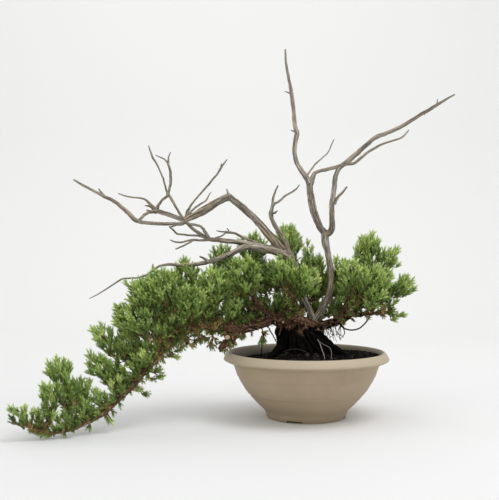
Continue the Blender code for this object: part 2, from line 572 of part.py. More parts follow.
def face_copy(face, swell):
    """A bmesh with this one face, moved out by the swell."""
    bm = bmesh.new()
    copy = bm.faces.new([bm.verts.new(vert.co + face.normal * swell) for vert in face.verts])
    copy.normal_update()
    return bm, copy


def tree_of_object(obj):
    bm = bmesh.new()
    bm.from_mesh(obj.data)
    tree = BVHTree.FromBMesh(bm)
    bm.free()
    return tree


class Spray:
    """One leafy stem: a slim spine from the wood outwards, with shoots and needles raised from it."""

    def __init__(self, name, spec):
        self.name = name
        self.centre = Vector(spec[:3])
        self.radius = spec[3]
        self.lean = Vector(spec[4:7]).normalized()
        self.count = spec[7]
        self.dice = random.Random(f"{SEED} {name}")
        self.bm = None
        self.path = None
        self.trees = []
        self.side_faces = {}
        self.end_face = None

    def is_clear(self, test, sprays, wood_trees):
        """Whether a test shape keeps clear of the floor, the wood and every other spray."""
        if min(vert.co.z for vert in test.verts) < FLOOR_CLEARANCE:
            return False
        tree = BVHTree.FromBMesh(test)
        others = [shape for spray in sprays if spray is not self for shape in spray.trees]
        return not any(tree.overlap(block) for block in wood_trees + others)

    def path_from(self, foot):
        """Points from the foot to the leader's start, arriving the way the spray leans."""
        leader = NECK + LEADER_WHORLS * WHORL_HEIGHT + TIP_LENGTH
        end = self.centre + self.lean * max(0.0, self.radius * LEADER_REACH - leader)
        bend = self.centre - self.lean * SPINE_BEND * (self.centre - foot).length
        bands = max(2, round(((bend - foot).length + (end - bend).length) / BAND_LENGTH))
        shares = [index / bands for index in range(bands + 1)]
        return [foot * (1 - t) ** 2 + bend * 2 * t * (1 - t) + end * t * t for t in shares]

    def make_spine(self, path, swell):
        """A closed three-sided spine along the path, with its side faces kept in bands."""
        bm = bmesh.new()
        ways = [(after - before).normalized() for before, after in zip(path, path[1:])]
        across = ways[0].orthogonal().normalized()
        other = ways[0].cross(across)
        lower = [bm.verts.new(path[0] + (STEM_RADIUS + swell) * (math.cos(math.tau * side / 3) * across
                                                                 + math.sin(math.tau * side / 3) * other))
                 for side in range(3)]
        bm.faces.new(list(reversed(lower)))
        bands = []
        for index, way in enumerate(ways):
            radius = SPINE_RADIUS * (1 - SPINE_TAPER * (index + 1) / len(ways)) + swell
            upper = next_ring(bm, lower, path[index + 1], way, radius)
            bands.append(add_band(bm, lower, upper))
            lower = upper
        end_face = bm.faces.new(lower)
        bm.normal_update()
        return bm, bands, end_face

    def seated_path(self, spot, live_tree, sprays, wood_trees):
        """A path from the wood's surface near the spot, started as close to it as is clear."""
        bend = self.path_from(spot)[1]
        way = (spot - bend).normalized()
        hit = live_tree.ray_cast(bend, way)[0]
        if hit is None:
            return None
        for step in range(FOOT_TRIES):
            path = self.path_from(hit - way * step * FOOT_STEP)
            back = (path[0] - path[1]).normalized() * NODE_GAP
            test = self.make_spine([path[0] + back, *path[1:]], NODE_GAP)[0]
            if self.is_clear(test, sprays, wood_trees):
                self.trees.append(BVHTree.FromBMesh(test))
                return path
        return None

    def grow_spine(self, spots, live_tree, sprays, wood_trees):
        """Leads the spine from the nearest spot of live wood that it has a clear way to."""
        def cost(spot):
            return (spot - self.centre).length + BACKWARD_COST * max(0.0, (spot - self.centre).dot(self.lean))
        for spot in sorted(spots, key=cost):
            path = self.seated_path(spot, live_tree, sprays, wood_trees)
            if path:
                self.bm, bands, self.end_face = self.make_spine(path, 0.0)
                self.path = path
                for band, faces in enumerate(bands):
                    way = (path[band + 1] - path[band]).normalized()
                    self.side_faces.update({face: (band, way) for face in faces} if band > 0 else {})
                return
        print("no clear spine for", self.name)

    def wanted_faces(self, index):
        """Free side faces, best first: further along and a golden turn round for each shoot."""
        bands = len(self.path) - 2
        along = 0.3 + bands * (index - 0.5) / max(1, self.count - 1)
        turn = GOLDEN_TURN * index
        across = self.lean.orthogonal().normalized()
        aim = math.cos(turn) * across + math.sin(turn) * self.lean.cross(across)

        def cost(face):
            band, way = self.side_faces[face]
            return abs(band - along) - face.normal.dot(aim) - 0.3 * face.normal.z
        return sorted(self.side_faces, key=cost)

    def grow_shoot(self, index, sprays, wood_trees):
        """Raises one shoot where it is clear, trying nearby faces and then fewer whorls."""
        if index == 0:
            choices = [(self.end_face, self.lean, whorls) for whorls in (LEADER_WHORLS, 1)]
        else:
            faces = self.wanted_faces(index)[:FACES_TRIED]
            choices = [(face, self.side_faces[face][1], whorls)
                       for whorls in (SIDE_WHORLS, SIDE_WHORLS - 1) for face in faces]
        for face, ahead, whorls in choices:
            jitter = Vector([self.dice.uniform(-SHOOT_JITTER, SHOOT_JITTER) for axis in range(3)])
            way = face.normal * SHOOT_OUT + ahead * SHOOT_AHEAD + Vector((0.0, 0.0, SHOOT_UP)) + jitter
            way.normalize()
            test, copy = face_copy(face, NODE_GAP)
            raise_shoot(test, copy, way, whorls, NODE_GAP)
            tree = BVHTree.FromBMesh(test)
            crossed = any(tree.overlap(shoot) for shoot in self.trees[1:])
            if not crossed and self.is_clear(test, sprays, wood_trees):
                self.trees.append(tree)
                self.side_faces.pop(face, None)
                raise_shoot(self.bm, face, way, whorls)
                return True
        return False

    def needle_is_clear(self, face, forward, sprays, wood_trees):
        """Whether the outer part of a needle raised from this face keeps clear of everything."""
        tip = face.calc_center_median() + face.normal * (SPINE_NEEDLE + NODE_GAP) + forward
        test = bmesh.new()
        test.faces.new([test.verts.new(vert.co.lerp(tip, 0.35)) for vert in face.verts])
        bmesh.ops.poke(test, faces=test.faces)
        max(test.verts, key=lambda vert: len(vert.link_faces)).co = tip
        tree = BVHTree.FromBMesh(test)
        crossed = any(tree.overlap(shoot) for shoot in self.trees[1:])
        return not crossed and self.is_clear(test, sprays, wood_trees)

    def finish(self, surface, sprays, wood_trees):
        """Raises a needle, where it is clear, from each face of the spine that carries no shoot."""
        for face, (band, way) in self.side_faces.items():
            face.normal_update()
            forward = way * NEEDLE_FORWARD
            if self.needle_is_clear(face, forward, sprays, wood_trees):
                raise_needles(self.bm, [face], SPINE_NEEDLE, forward)
        self.trees = [BVHTree.FromBMesh(self.bm)]
        return new_object(self.name, self.bm, surface)


def wood_spots():
    """Points down the live wood, close enough together to lead a spine from."""
    bare = ("trunk", "knot", "bare_twig", "pruned_knob", "cut_stub")
    found = []
    for name, route in LIVE_ROUTES.items():
        if name.endswith("root") or name in bare:
            continue
        for start, end in zip(route, route[1:]):
            for share in (0.0, 0.25, 0.5, 0.75):
                found.append(Vector(start[:3]).lerp(Vector(end[:3]), share))
        found.append(Vector(route[-1][:3]))
    return found


def make_foliage(wood, live_wood, surface):
    live_tree = tree_of_object(live_wood)
    wood_trees = [tree_of_object(obj) for obj in wood]
    sprays = [Spray(f"foliage_{region}_{number}", spec)
              for region, specs in SPRAYS.items() for number, spec in enumerate(specs, 1)]
    spots = wood_spots()
    for spray in sprays:
        spray.grow_spine(spots, live_tree, sprays, wood_trees)
    kept = 0
    for index in range(max(spray.count for spray in sprays)):
        for spray in sprays:
            if index < spray.count:
                kept += spray.grow_shoot(index, sprays, wood_trees)
    print("shoots kept:", kept, "of", sum(spray.count for spray in sprays))
    for spray in sprays:
        spray.finish(surface, sprays, wood_trees)


def main():
    clear_scene()
    pot = make_pot()
    bleached = material("bleached_wood", (0.33, 0.27, 0.21), 0.8)
    bark = material("juniper_bark", (0.10, 0.05, 0.03), 0.9)
    deadwood = make_wood("deadwood", DEADWOOD_ROUTES, bleached, DEADWOOD_WOBBLE)
    live_wood = make_wood("live_wood", LIVE_ROUTES, bark, BARK_WOBBLE)
    soil = make_soil()
    make_foliage((deadwood, live_wood, soil, pot), live_wood,
                 material("juniper_green", (0.09, 0.20, 0.05), 0.6))


main()
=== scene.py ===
# %% [markdown]
# # A tanuki juniper bonsai in its bowl
#
# A tanuki is a living tree trained against dead wood. Here a creeping juniper pours over the rim of
# a shallow plastic bowl, and a bleached dead juniper stands beside its trunk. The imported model
# already holds every piece at its true size. This lesson dresses it: each stem gets its grain, each
# spray its needles and the bowl its smooth lip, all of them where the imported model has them.

import math
import random

import bmesh
import bpy
from mathutils import Matrix, Vector, noise


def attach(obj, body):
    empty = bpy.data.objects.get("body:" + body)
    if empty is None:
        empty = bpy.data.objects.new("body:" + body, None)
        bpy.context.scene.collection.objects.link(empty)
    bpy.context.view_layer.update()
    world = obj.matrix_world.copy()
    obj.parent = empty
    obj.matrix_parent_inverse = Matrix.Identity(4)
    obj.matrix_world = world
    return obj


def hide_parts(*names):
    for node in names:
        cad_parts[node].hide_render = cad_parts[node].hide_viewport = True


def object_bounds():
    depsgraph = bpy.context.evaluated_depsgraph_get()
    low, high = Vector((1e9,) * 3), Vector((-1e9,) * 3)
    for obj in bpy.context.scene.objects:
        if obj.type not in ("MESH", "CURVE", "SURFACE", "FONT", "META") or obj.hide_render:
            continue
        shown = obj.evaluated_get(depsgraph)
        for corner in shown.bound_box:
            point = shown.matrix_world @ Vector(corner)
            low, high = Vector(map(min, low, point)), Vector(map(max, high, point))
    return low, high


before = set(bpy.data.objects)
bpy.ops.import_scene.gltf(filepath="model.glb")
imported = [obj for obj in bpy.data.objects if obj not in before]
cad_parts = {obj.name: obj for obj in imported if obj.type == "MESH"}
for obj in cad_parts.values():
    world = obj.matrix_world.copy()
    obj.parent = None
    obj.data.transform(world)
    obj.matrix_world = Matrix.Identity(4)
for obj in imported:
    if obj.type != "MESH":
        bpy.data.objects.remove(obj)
cad_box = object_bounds()
print("nodes:", len(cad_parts), "box:", cad_box)

# %% [markdown]
# ## The view
#
# The picture is 499 x 500 and was taken from straight in front, level with the tops of the sprays.
# A route that was read from the picture is a list of (u, v, depth, radius): the place in the
# picture, how far the point lies behind the middle of the pot, and half the wood's thickness,
# both in millimetres. `spot` turns such a reading into metres by the same lens as the camera's.

# %% Camera and the places that it sees
PICTURE_MIDDLE = (249.5, 250.0)
PICTURE_LONG_SIDE = 500
FOCAL_PIXELS = 880.0
PIXEL_AT_POT = 0.00181
CAMERA_PLACE = Vector((-0.1024, -PIXEL_AT_POT * FOCAL_PIXELS, 0.3015))
SENSOR = 36.0


def spot(u, v, depth):
    """The place in metres of a picture point that lies depth millimetres behind the pot's middle."""
    scale = PIXEL_AT_POT + 0.001 * depth / FOCAL_PIXELS
    return Vector((CAMERA_PLACE.x + (u - PICTURE_MIDDLE[0]) * scale, 0.001 * depth,
                   CAMERA_PLACE.z - (v - PICTURE_MIDDLE[1]) * scale))


def placed(name, data):
    """A new object in the scene, at the origin."""
    obj = bpy.data.objects.new(name, data)
    bpy.context.scene.collection.objects.link(obj)
    return obj


lens = bpy.data.cameras.new("portrait_lens")
lens.sensor_width = SENSOR
lens.lens = SENSOR * FOCAL_PIXELS / PICTURE_LONG_SIDE
lens.clip_start = 0.01
camera = placed("camera", lens)
camera.location = CAMERA_PLACE
camera.rotation_euler = (math.pi / 2, 0.0, 0.0)
bpy.context.scene.camera = camera
print("camera at", tuple(round(c, 3) for c in CAMERA_PLACE), "lens", round(lens.lens, 1), "mm")

# %% [markdown]
# ## Helpers for node trees
#
# Materials and Geometry Nodes are both trees of nodes. `add` makes a node, sets its options, and
# fills each of its sockets with a plain value or with a link from another node. The short helpers
# after it find their tree from the socket that they are given, so that sums read like sums.

# %% Add a node, fill its sockets
def is_socket(value):
    return isinstance(value, bpy.types.NodeSocket)


def add(tree, kind, sockets=None, **options):
    """A new node with these options, its sockets filled with values or links."""
    node = tree.nodes.new(kind)
    for name, value in options.items():
        setattr(node, name, value)
    for name, value in (sockets or {}).items():
        if is_socket(value):
            tree.links.new(value, node.inputs[name])
        else:
            node.inputs[name].default_value = value
    return node


def calc(operation, first, second=0.0, clamp=False):
    tree = (first if is_socket(first) else second).id_data
    return add(tree, "ShaderNodeMath", {0: first, 1: second}, operation=operation, use_clamp=clamp).outputs[0]


def times(first, second, clamp=False):
    return calc("MULTIPLY", first, second, clamp)


def plus(first, second):
    return calc("ADD", first, second)


def minus(first, second):
    return calc("SUBTRACT", first, second)


def parts_of(vector):
    """A vector's x, y and z."""
    return add(vector.id_data, "ShaderNodeSeparateXYZ", {0: vector}).outputs


def share_between(value, low, high, most=1.0):
    """0 where the value is low, rising to most where it is high."""
    return add(value.id_data, "ShaderNodeMapRange", {0: value, 1: low, 2: high, 4: most}).outputs[0]


def soft_noise(vector, scale, detail, roughness=0.5):
    return add(vector.id_data, "ShaderNodeTexNoise", {"Vector": vector, "Scale": scale, "Detail": detail,
                                                      "Roughness": roughness}).outputs[0]


# %% Groups with named sockets
PLAIN_SOCKETS = {int: "Int", float: "Float"}


def new_group(name, kind, inputs, outputs):
    """A node group, and what it is given and gives. An input's value is its default, or its kind."""
    tree = bpy.data.node_groups.new(name, kind)
    for label, value in inputs.items():
        plain = PLAIN_SOCKETS.get(type(value))
        socket = tree.interface.new_socket(label, in_out="INPUT", socket_type=f"NodeSocket{plain or value}")
        if plain:
            socket.default_value = value
    for label, value in outputs.items():
        tree.interface.new_socket(label, in_out="OUTPUT", socket_type=f"NodeSocket{value}")
    return tree, tree.nodes.new("NodeGroupInput").outputs, tree.nodes.new("NodeGroupOutput").inputs


# %% Materials, colour ramps and blends
def new_material(name, **plain):
    """A material and its Principled node, with values that are the same all over set on its sockets."""
    made = bpy.data.materials.new(name)
    made.use_nodes = True
    shader = made.node_tree.nodes["Principled BSDF"]
    for socket, value in plain.items():
        shader.inputs[socket.replace("_", " ")].default_value = value
    return made, made.node_tree, shader


def feed(shader, **varying):
    """Links what varies over the surface to the shader's sockets."""
    for socket, value in varying.items():
        value.id_data.links.new(value, shader.inputs[socket.replace("_", " ")])


def relief(height, strength, distance):
    return add(height.id_data, "ShaderNodeBump", {"Strength": strength, "Distance": distance,
                                                  "Height": height}).outputs[0]


def attribute(tree, name, output="Fac"):
    return add(tree, "ShaderNodeAttribute", attribute_name=name).outputs[output]


def place_in(tree):
    """Where a point of the surface is, in metres."""
    return add(tree, "ShaderNodeTexCoord").outputs["Object"]


def height_share(tree, low, high):
    """0 at the low height and 1 at the high one, in metres."""
    return share_between(parts_of(place_in(tree))[2], low, high)


def ramp(factor, stops):
    """A colour ramp with (place, colour) stops."""
    node = add(factor.id_data, "ShaderNodeValToRGB", {0: factor})
    band = node.color_ramp
    while len(band.elements) < len(stops):
        band.elements.new(0.5)
    for element, (place, colour) in zip(band.elements, stops):
        element.position = place
        element.color = (*colour, 1.0)
    return node.outputs[0]


def blend_colours(factor, first, second, mode="MIX"):
    tree = next(value for value in (factor, first, second) if is_socket(value)).id_data
    first, second = (value if is_socket(value) else (*value, 1.0) for value in (first, second))
    return add(tree, "ShaderNodeMix", {0: factor, 6: first, 7: second}, data_type="RGBA",
               blend_type=mode).outputs[2]


# %% From a tree of Geometry Nodes to a plain mesh, and from a mesh to a finished piece
def grown(name, mesh, tree, values):
    """An object whose mesh is what the tree makes of this one, its modifier applied."""
    obj = placed(name, mesh)
    modifier = obj.modifiers.new(tree.name, "NODES")
    modifier.node_group = tree
    for item in tree.interface.items_tree:
        if item.item_type == "SOCKET" and item.in_out == "INPUT" and item.name in values:
            modifier[item.identifier] = values[item.name]
    graph = bpy.context.evaluated_depsgraph_get()
    result = bpy.data.meshes.new_from_object(obj.evaluated_get(graph))
    obj.modifiers.clear()
    obj.data = result
    result.name = name
    return obj


def mesh_object(name, bm):
    mesh = bpy.data.meshes.new(name)
    bm.to_mesh(mesh)
    bm.free()
    return placed(name, mesh)


def solid_object(name, bm):
    """A closed mesh with its faces turned outwards."""
    bmesh.ops.recalc_face_normals(bm, faces=bm.faces)
    return mesh_object(name, bm)


def hand_over(obj, slot, *nodes):
    """Lets a finished piece ride with the pot and stand for its CAD nodes. Its slot is not used."""
    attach(obj, "root")
    if nodes:
        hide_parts(*nodes)
    obj.data.calc_loop_triangles()
    print(obj.name, len(obj.data.loop_triangles), "triangles")


# %% [markdown]
# ## Floor and light
#
# The tree was photographed on white paper that curves up behind it, under one broad soft light
# from the upper right, with light coming back from all round. The paper is a swept strip, so no
# edge shows where floor becomes wall.

# %% Paper sweep
FLOOR_REACH = 5.2
FLOOR_FRONT = -4.0
SWEEP_START = 1.6
SWEEP_RADIUS = 0.9
SWEEP_STEPS = 16
WALL_TOP = 4.0


def paper_sweep():
    profile = [(FLOOR_FRONT, 0.0), (SWEEP_START, 0.0)]
    for step in range(1, SWEEP_STEPS + 1):
        turn = math.pi / 2 * step / SWEEP_STEPS
        profile.append((SWEEP_START + SWEEP_RADIUS * math.sin(turn), SWEEP_RADIUS * (1 - math.cos(turn))))
    profile.append((SWEEP_START + SWEEP_RADIUS, WALL_TOP))
    bm = bmesh.new()
    rows = [[bm.verts.new((side * FLOOR_REACH, y, z)) for side in (-1, 1)] for y, z in profile]
    for low, high in zip(rows, rows[1:]):
        bm.faces.new((low[0], low[1], high[1], high[0]))
    sweep = mesh_object("paper_sweep", bm)
    sweep.data.shade_smooth()
    return sweep


def white_paper():
    made, tree, shader = new_material("white_paper", Roughness=0.9)
    behind = share_between(parts_of(place_in(tree))[1], 0.2, 1.6)
    feed(shader, Base_Color=ramp(behind, [(0.0, (0.752, 0.755, 0.755)), (1.0, (0.840, 0.844, 0.832))]))
    return made


sweep = paper_sweep()
sweep.data.materials.append(white_paper())
print("paper strips:", len(sweep.data.polygons))

# %% Soft lights
# Each is (place, what it points at, how wide it is in metres, watts)
LIGHTS = {
    "key": ((0.95, -0.80, 2.35), (-0.1, -0.02, 0.2), 1.5, 27.0),
    "fill": ((-1.8, -1.5, 1.9), (-0.3, 0.0, 0.1), 2.0, 8.0),
    "backdrop": ((-0.5, 0.8, 2.3), (-0.4, 2.5, 0.5), 2.2, 7.0),
}
ROOM_LIGHT = 0.81

for name, (place, aim, size, power) in LIGHTS.items():
    panel = bpy.data.lights.new(name, "AREA")
    panel.shape = "DISK"
    panel.size = size
    panel.energy = power
    light = placed(name, panel)
    light.location = place
    light.rotation_euler = (Vector(aim) - Vector(place)).to_track_quat("-Z", "Y").to_euler()
room = bpy.data.worlds.new("room")
bpy.context.scene.world = room
room.use_nodes = True
room.node_tree.nodes["Background"].inputs["Color"].default_value = (1.0, 1.0, 1.0, 1.0)
room.node_tree.nodes["Background"].inputs["Strength"].default_value = ROOM_LIGHT
bpy.context.scene.view_settings.view_transform = "Standard"
print("lights:", ", ".join(LIGHTS), "and the room")

# %% [markdown]
# ## Routes that wood follows
#
# Every stem and twig is a tube round a curve. `smooth_line` runs a curve through the readings and
# gives it a slight wander, because no branch is straight. `line_mesh` keeps many such curves as
# the edges of one mesh, with the facts that Geometry Nodes will need stored on its points.

# %% Smooth lines and a mesh that holds them
WANDER_UP_TO = 0.004
THINNEST = 0.0003
NEXT_START = 0.37


def smooth_line(route, step, wander=0.0, seed=0):
    """Points (x, y, z, radius) about every step along a smooth curve through the route's points."""
    dice = random.Random(seed)
    points = [Vector(point) for point in route]
    points = [2 * points[0] - points[1], *points, 2 * points[-1] - points[-2]]
    line = [points[1]]
    for before, start, end, after in zip(points, points[1:], points[2:], points[3:]):
        count = max(1, round((end.xyz - start.xyz).length / step))
        for part in range(1, count + 1):
            t = part / count
            line.append(0.5 * (2 * start + (end - before) * t
                               + (2 * before - 5 * start + 4 * end - after) * t ** 2
                               + (3 * start - before - 3 * end + after) * t ** 3))
    slow = Vector((0.0, 0.0, 0.0))
    for index, point in enumerate(line[1:-1], 1):
        slow = slow * 0.8 + Vector([dice.gauss(0.0, 1.0) for axis in range(3)]) * 0.6
        place = point.xyz + slow * wander * min(point.w, WANDER_UP_TO)
        line[index] = Vector((*place, max(point.w, THINNEST)))
    return line


def line_mesh(name, lines, facts):
    """One mesh of edge chains; each line is a list of (x, y, z, fact, fact, ...)."""
    places, edges = [], []
    for line in lines:
        edges.extend((len(places) + index, len(places) + index + 1) for index in range(len(line) - 1))
        places.extend(line)
    mesh = bpy.data.meshes.new(name)
    mesh.from_pydata([place[:3] for place in places], edges, [])
    for index, fact in enumerate(facts, 3):
        layer = mesh.attributes.new(fact, "FLOAT", "POINT")
        layer.data.foreach_set("value", [place[index] for place in places])
    return mesh


def wood_lines(routes, step, wander, seed):
    """Every route as a smooth line with its girth, and the length along it from a start of its own."""
    lines = []
    for index, route in enumerate(routes):
        line = smooth_line(route, step, wander, seed + index)
        along = NEXT_START * index
        facts = []
        for before, point in zip([line[0], *line], line):
            along += (point.xyz - before.xyz).length
            facts.append((*point, along))
        lines.append(facts)
    return lines


# %% [markdown]
# ## How wood is grown from a line
#
# Old juniper isn't round. It is fluted: lobes run along it, with deep cracks between them that
# follow the grain. So the tube is made by Geometry Nodes: a ring is swept along each line, scaled
# by the girth there, and then pushed in by noise that is stretched along the branch. The grain's
# own directions, round and along, are stored for the material to use.

# %% Steps that the trees of Geometry Nodes share
def named(tree, name, data_type="FLOAT"):
    return add(tree, "GeometryNodeInputNamedAttribute", {"Name": name},
               data_type=data_type).outputs["Attribute"]


def store(tree, geometry, name, value, data_type="FLOAT"):
    return add(tree, "GeometryNodeStoreNamedAttribute", {"Geometry": geometry, "Name": name, "Value": value},
               data_type=data_type, domain="POINT").outputs[0]


def circle(tree, sides):
    return add(tree, "GeometryNodeCurvePrimitiveCircle", {"Resolution": sides, "Radius": 1.0}).outputs[0]


def tube(tree, lines, profile):
    """A skin round the lines, as wide as the girth stored on them."""
    return add(tree, "GeometryNodeCurveToMesh", {"Curve": lines, "Profile Curve": profile,
                                                 "Scale": named(tree, "girth"), "Fill Caps": True}).outputs[0]


def made_real(tree, geometry, material):
    """The end of a tree: its instances become mesh and take their material."""
    real = add(tree, "GeometryNodeRealizeInstances", {0: geometry}).outputs[0]
    return add(tree, "GeometryNodeSetMaterial", {"Geometry": real, "Material": material}).outputs[0]


# %% Geometry Nodes: fluted wood along a line
def fluted_wood():
    tree, ask, result = new_group(
        "fluted_wood", "GeometryNodeTree",
        {"Geometry": "Geometry", "Sides": 16, "Flute Depth": 0.3, "Crack Depth": 0.2, "Stretch": 22.0,
         "Surface": "Material"}, {"Geometry": "Geometry"})
    lines = add(tree, "GeometryNodeMeshToCurve", {0: ask["Geometry"]}).outputs[0]
    place = add(tree, "GeometryNodeInputPosition").outputs[0]
    tubes = tube(tree, lines, store(tree, circle(tree, ask["Sides"]), "round", place, "FLOAT_VECTOR"))
    x, y, _ = parts_of(named(tree, "round", "FLOAT_VECTOR"))
    length = times(named(tree, "along"), ask["Stretch"])
    grain = add(tree, "ShaderNodeCombineXYZ", {0: x, 1: y, 2: length}).outputs[0]
    tubes = store(tree, tubes, "grain", grain, "FLOAT_VECTOR")
    broad, fine = soft_noise(grain, 0.9, 2.0), soft_noise(grain, 2.1, 3.0)
    ridge = times(calc("ABSOLUTE", minus(fine, 0.5)), 9.0, True)
    crack = calc("POWER", minus(1.0, ridge), 2.0)
    tubes = store(tree, tubes, "crack", crack)
    dent = minus(times(minus(broad, 0.5), ask["Flute Depth"]), times(crack, ask["Crack Depth"]))
    normal = add(tree, "GeometryNodeInputNormal").outputs[0]
    offset = add(tree, "ShaderNodeVectorMath", {0: normal, "Scale": times(dent, named(tree, "girth"))},
                 operation="SCALE").outputs[0]
    tubes = add(tree, "GeometryNodeSetPosition", {"Geometry": tubes, "Offset": offset}).outputs[0]
    tubes = add(tree, "GeometryNodeSetShadeSmooth", {0: tubes}).outputs[0]
    tree.links.new(made_real(tree, tubes, ask["Surface"]), result[0])
    return tree


WOOD_TREE = fluted_wood()
print(WOOD_TREE.name, "has", len(WOOD_TREE.nodes), "nodes")

# %% [markdown]
# ## Grain that follows the wood
#
# Bare wood and bark share one effect: fine streaks and broad bands that run along the branch.
# It is a shader group, so that each finish uses it with its own values.

# %% Shader group: streaks along the grain
GRAIN_STRETCH = (1.0, 1.0, 0.22)


def grain_group():
    tree, ask, result = new_group("along_the_grain", "ShaderNodeTree",
                                  {"Grain": "Vector", "Streak Scale": 6.0, "Band Scale": 1.3},
                                  {"Streaks": "Float", "Bands": "Float"})
    drawn = add(tree, "ShaderNodeVectorMath", {0: ask["Grain"], 1: GRAIN_STRETCH},
                operation="MULTIPLY").outputs[0]
    tree.links.new(soft_noise(drawn, ask["Streak Scale"], 4.0, 0.65), result["Streaks"])
    tree.links.new(soft_noise(ask["Grain"], ask["Band Scale"], 2.0), result["Bands"])
    return tree


GRAIN_GROUP = grain_group()


def grain_of(tree, streak_scale, band_scale):
    """The streaks and the bands."""
    return add(tree, "ShaderNodeGroup",
               {"Grain": attribute(tree, "grain", "Vector"), "Streak Scale": streak_scale,
                "Band Scale": band_scale}, node_tree=GRAIN_GROUP).outputs


print(GRAIN_GROUP.name, "has", len(GRAIN_GROUP.nodes), "nodes")

# %% [markdown]
# ## The dead tree
#
# Dead juniper bleaches to a warm grey. Its cracks are painted dark as shade, and where the weather
# has worn it through, paler tan wood shows. Low down near the soil it is painted nearly black as
# shade. The routes were read along every branch of the picture.

# %% Bleached wood
# Near-black painted shade, for wood low down near the soil and bark close to the pot
PAINTED_SHADE_BLACK = (0.0018, 0.0017, 0.0017)
PAINTED_SHADE_UP_TO = (0.146, 0.178)


def bleached_wood():
    made, tree, shader = new_material("bleached_wood", Specular_IOR_Level=0.25)
    streaks, bands = grain_of(tree, 7.0, 1.1)
    grey = ramp(streaks, [(0.39, (0.050, 0.041, 0.031)), (0.465, (0.205, 0.180, 0.145)),
                          (0.56, (0.455, 0.412, 0.340)), (0.66, (0.80, 0.75, 0.665))])
    tan = blend_colours(1.0, grey, (1.12, 0.99, 0.84), "MULTIPLY")
    worn = blend_colours(times(minus(bands, 0.45), 6.0, True), grey, tan)
    # Painted shade: the cracks are darkened
    dark = blend_colours(times(attribute(tree, "crack"), 0.75), worn, (0.045, 0.034, 0.026))
    # Painted shade: the wood turns nearly black below these heights, near the soil
    low_shade = times(minus(1.0, height_share(tree, *PAINTED_SHADE_UP_TO)), 0.99)
    feed(shader, Base_Color=blend_colours(low_shade, dark, PAINTED_SHADE_BLACK), Roughness=plus(0.68, times(streaks, 0.25)),
         Normal=relief(streaks, 0.5, 0.0008))
    return made


BLEACHED = bleached_wood()
print(BLEACHED.name, "has", len(BLEACHED.node_tree.nodes), "nodes")

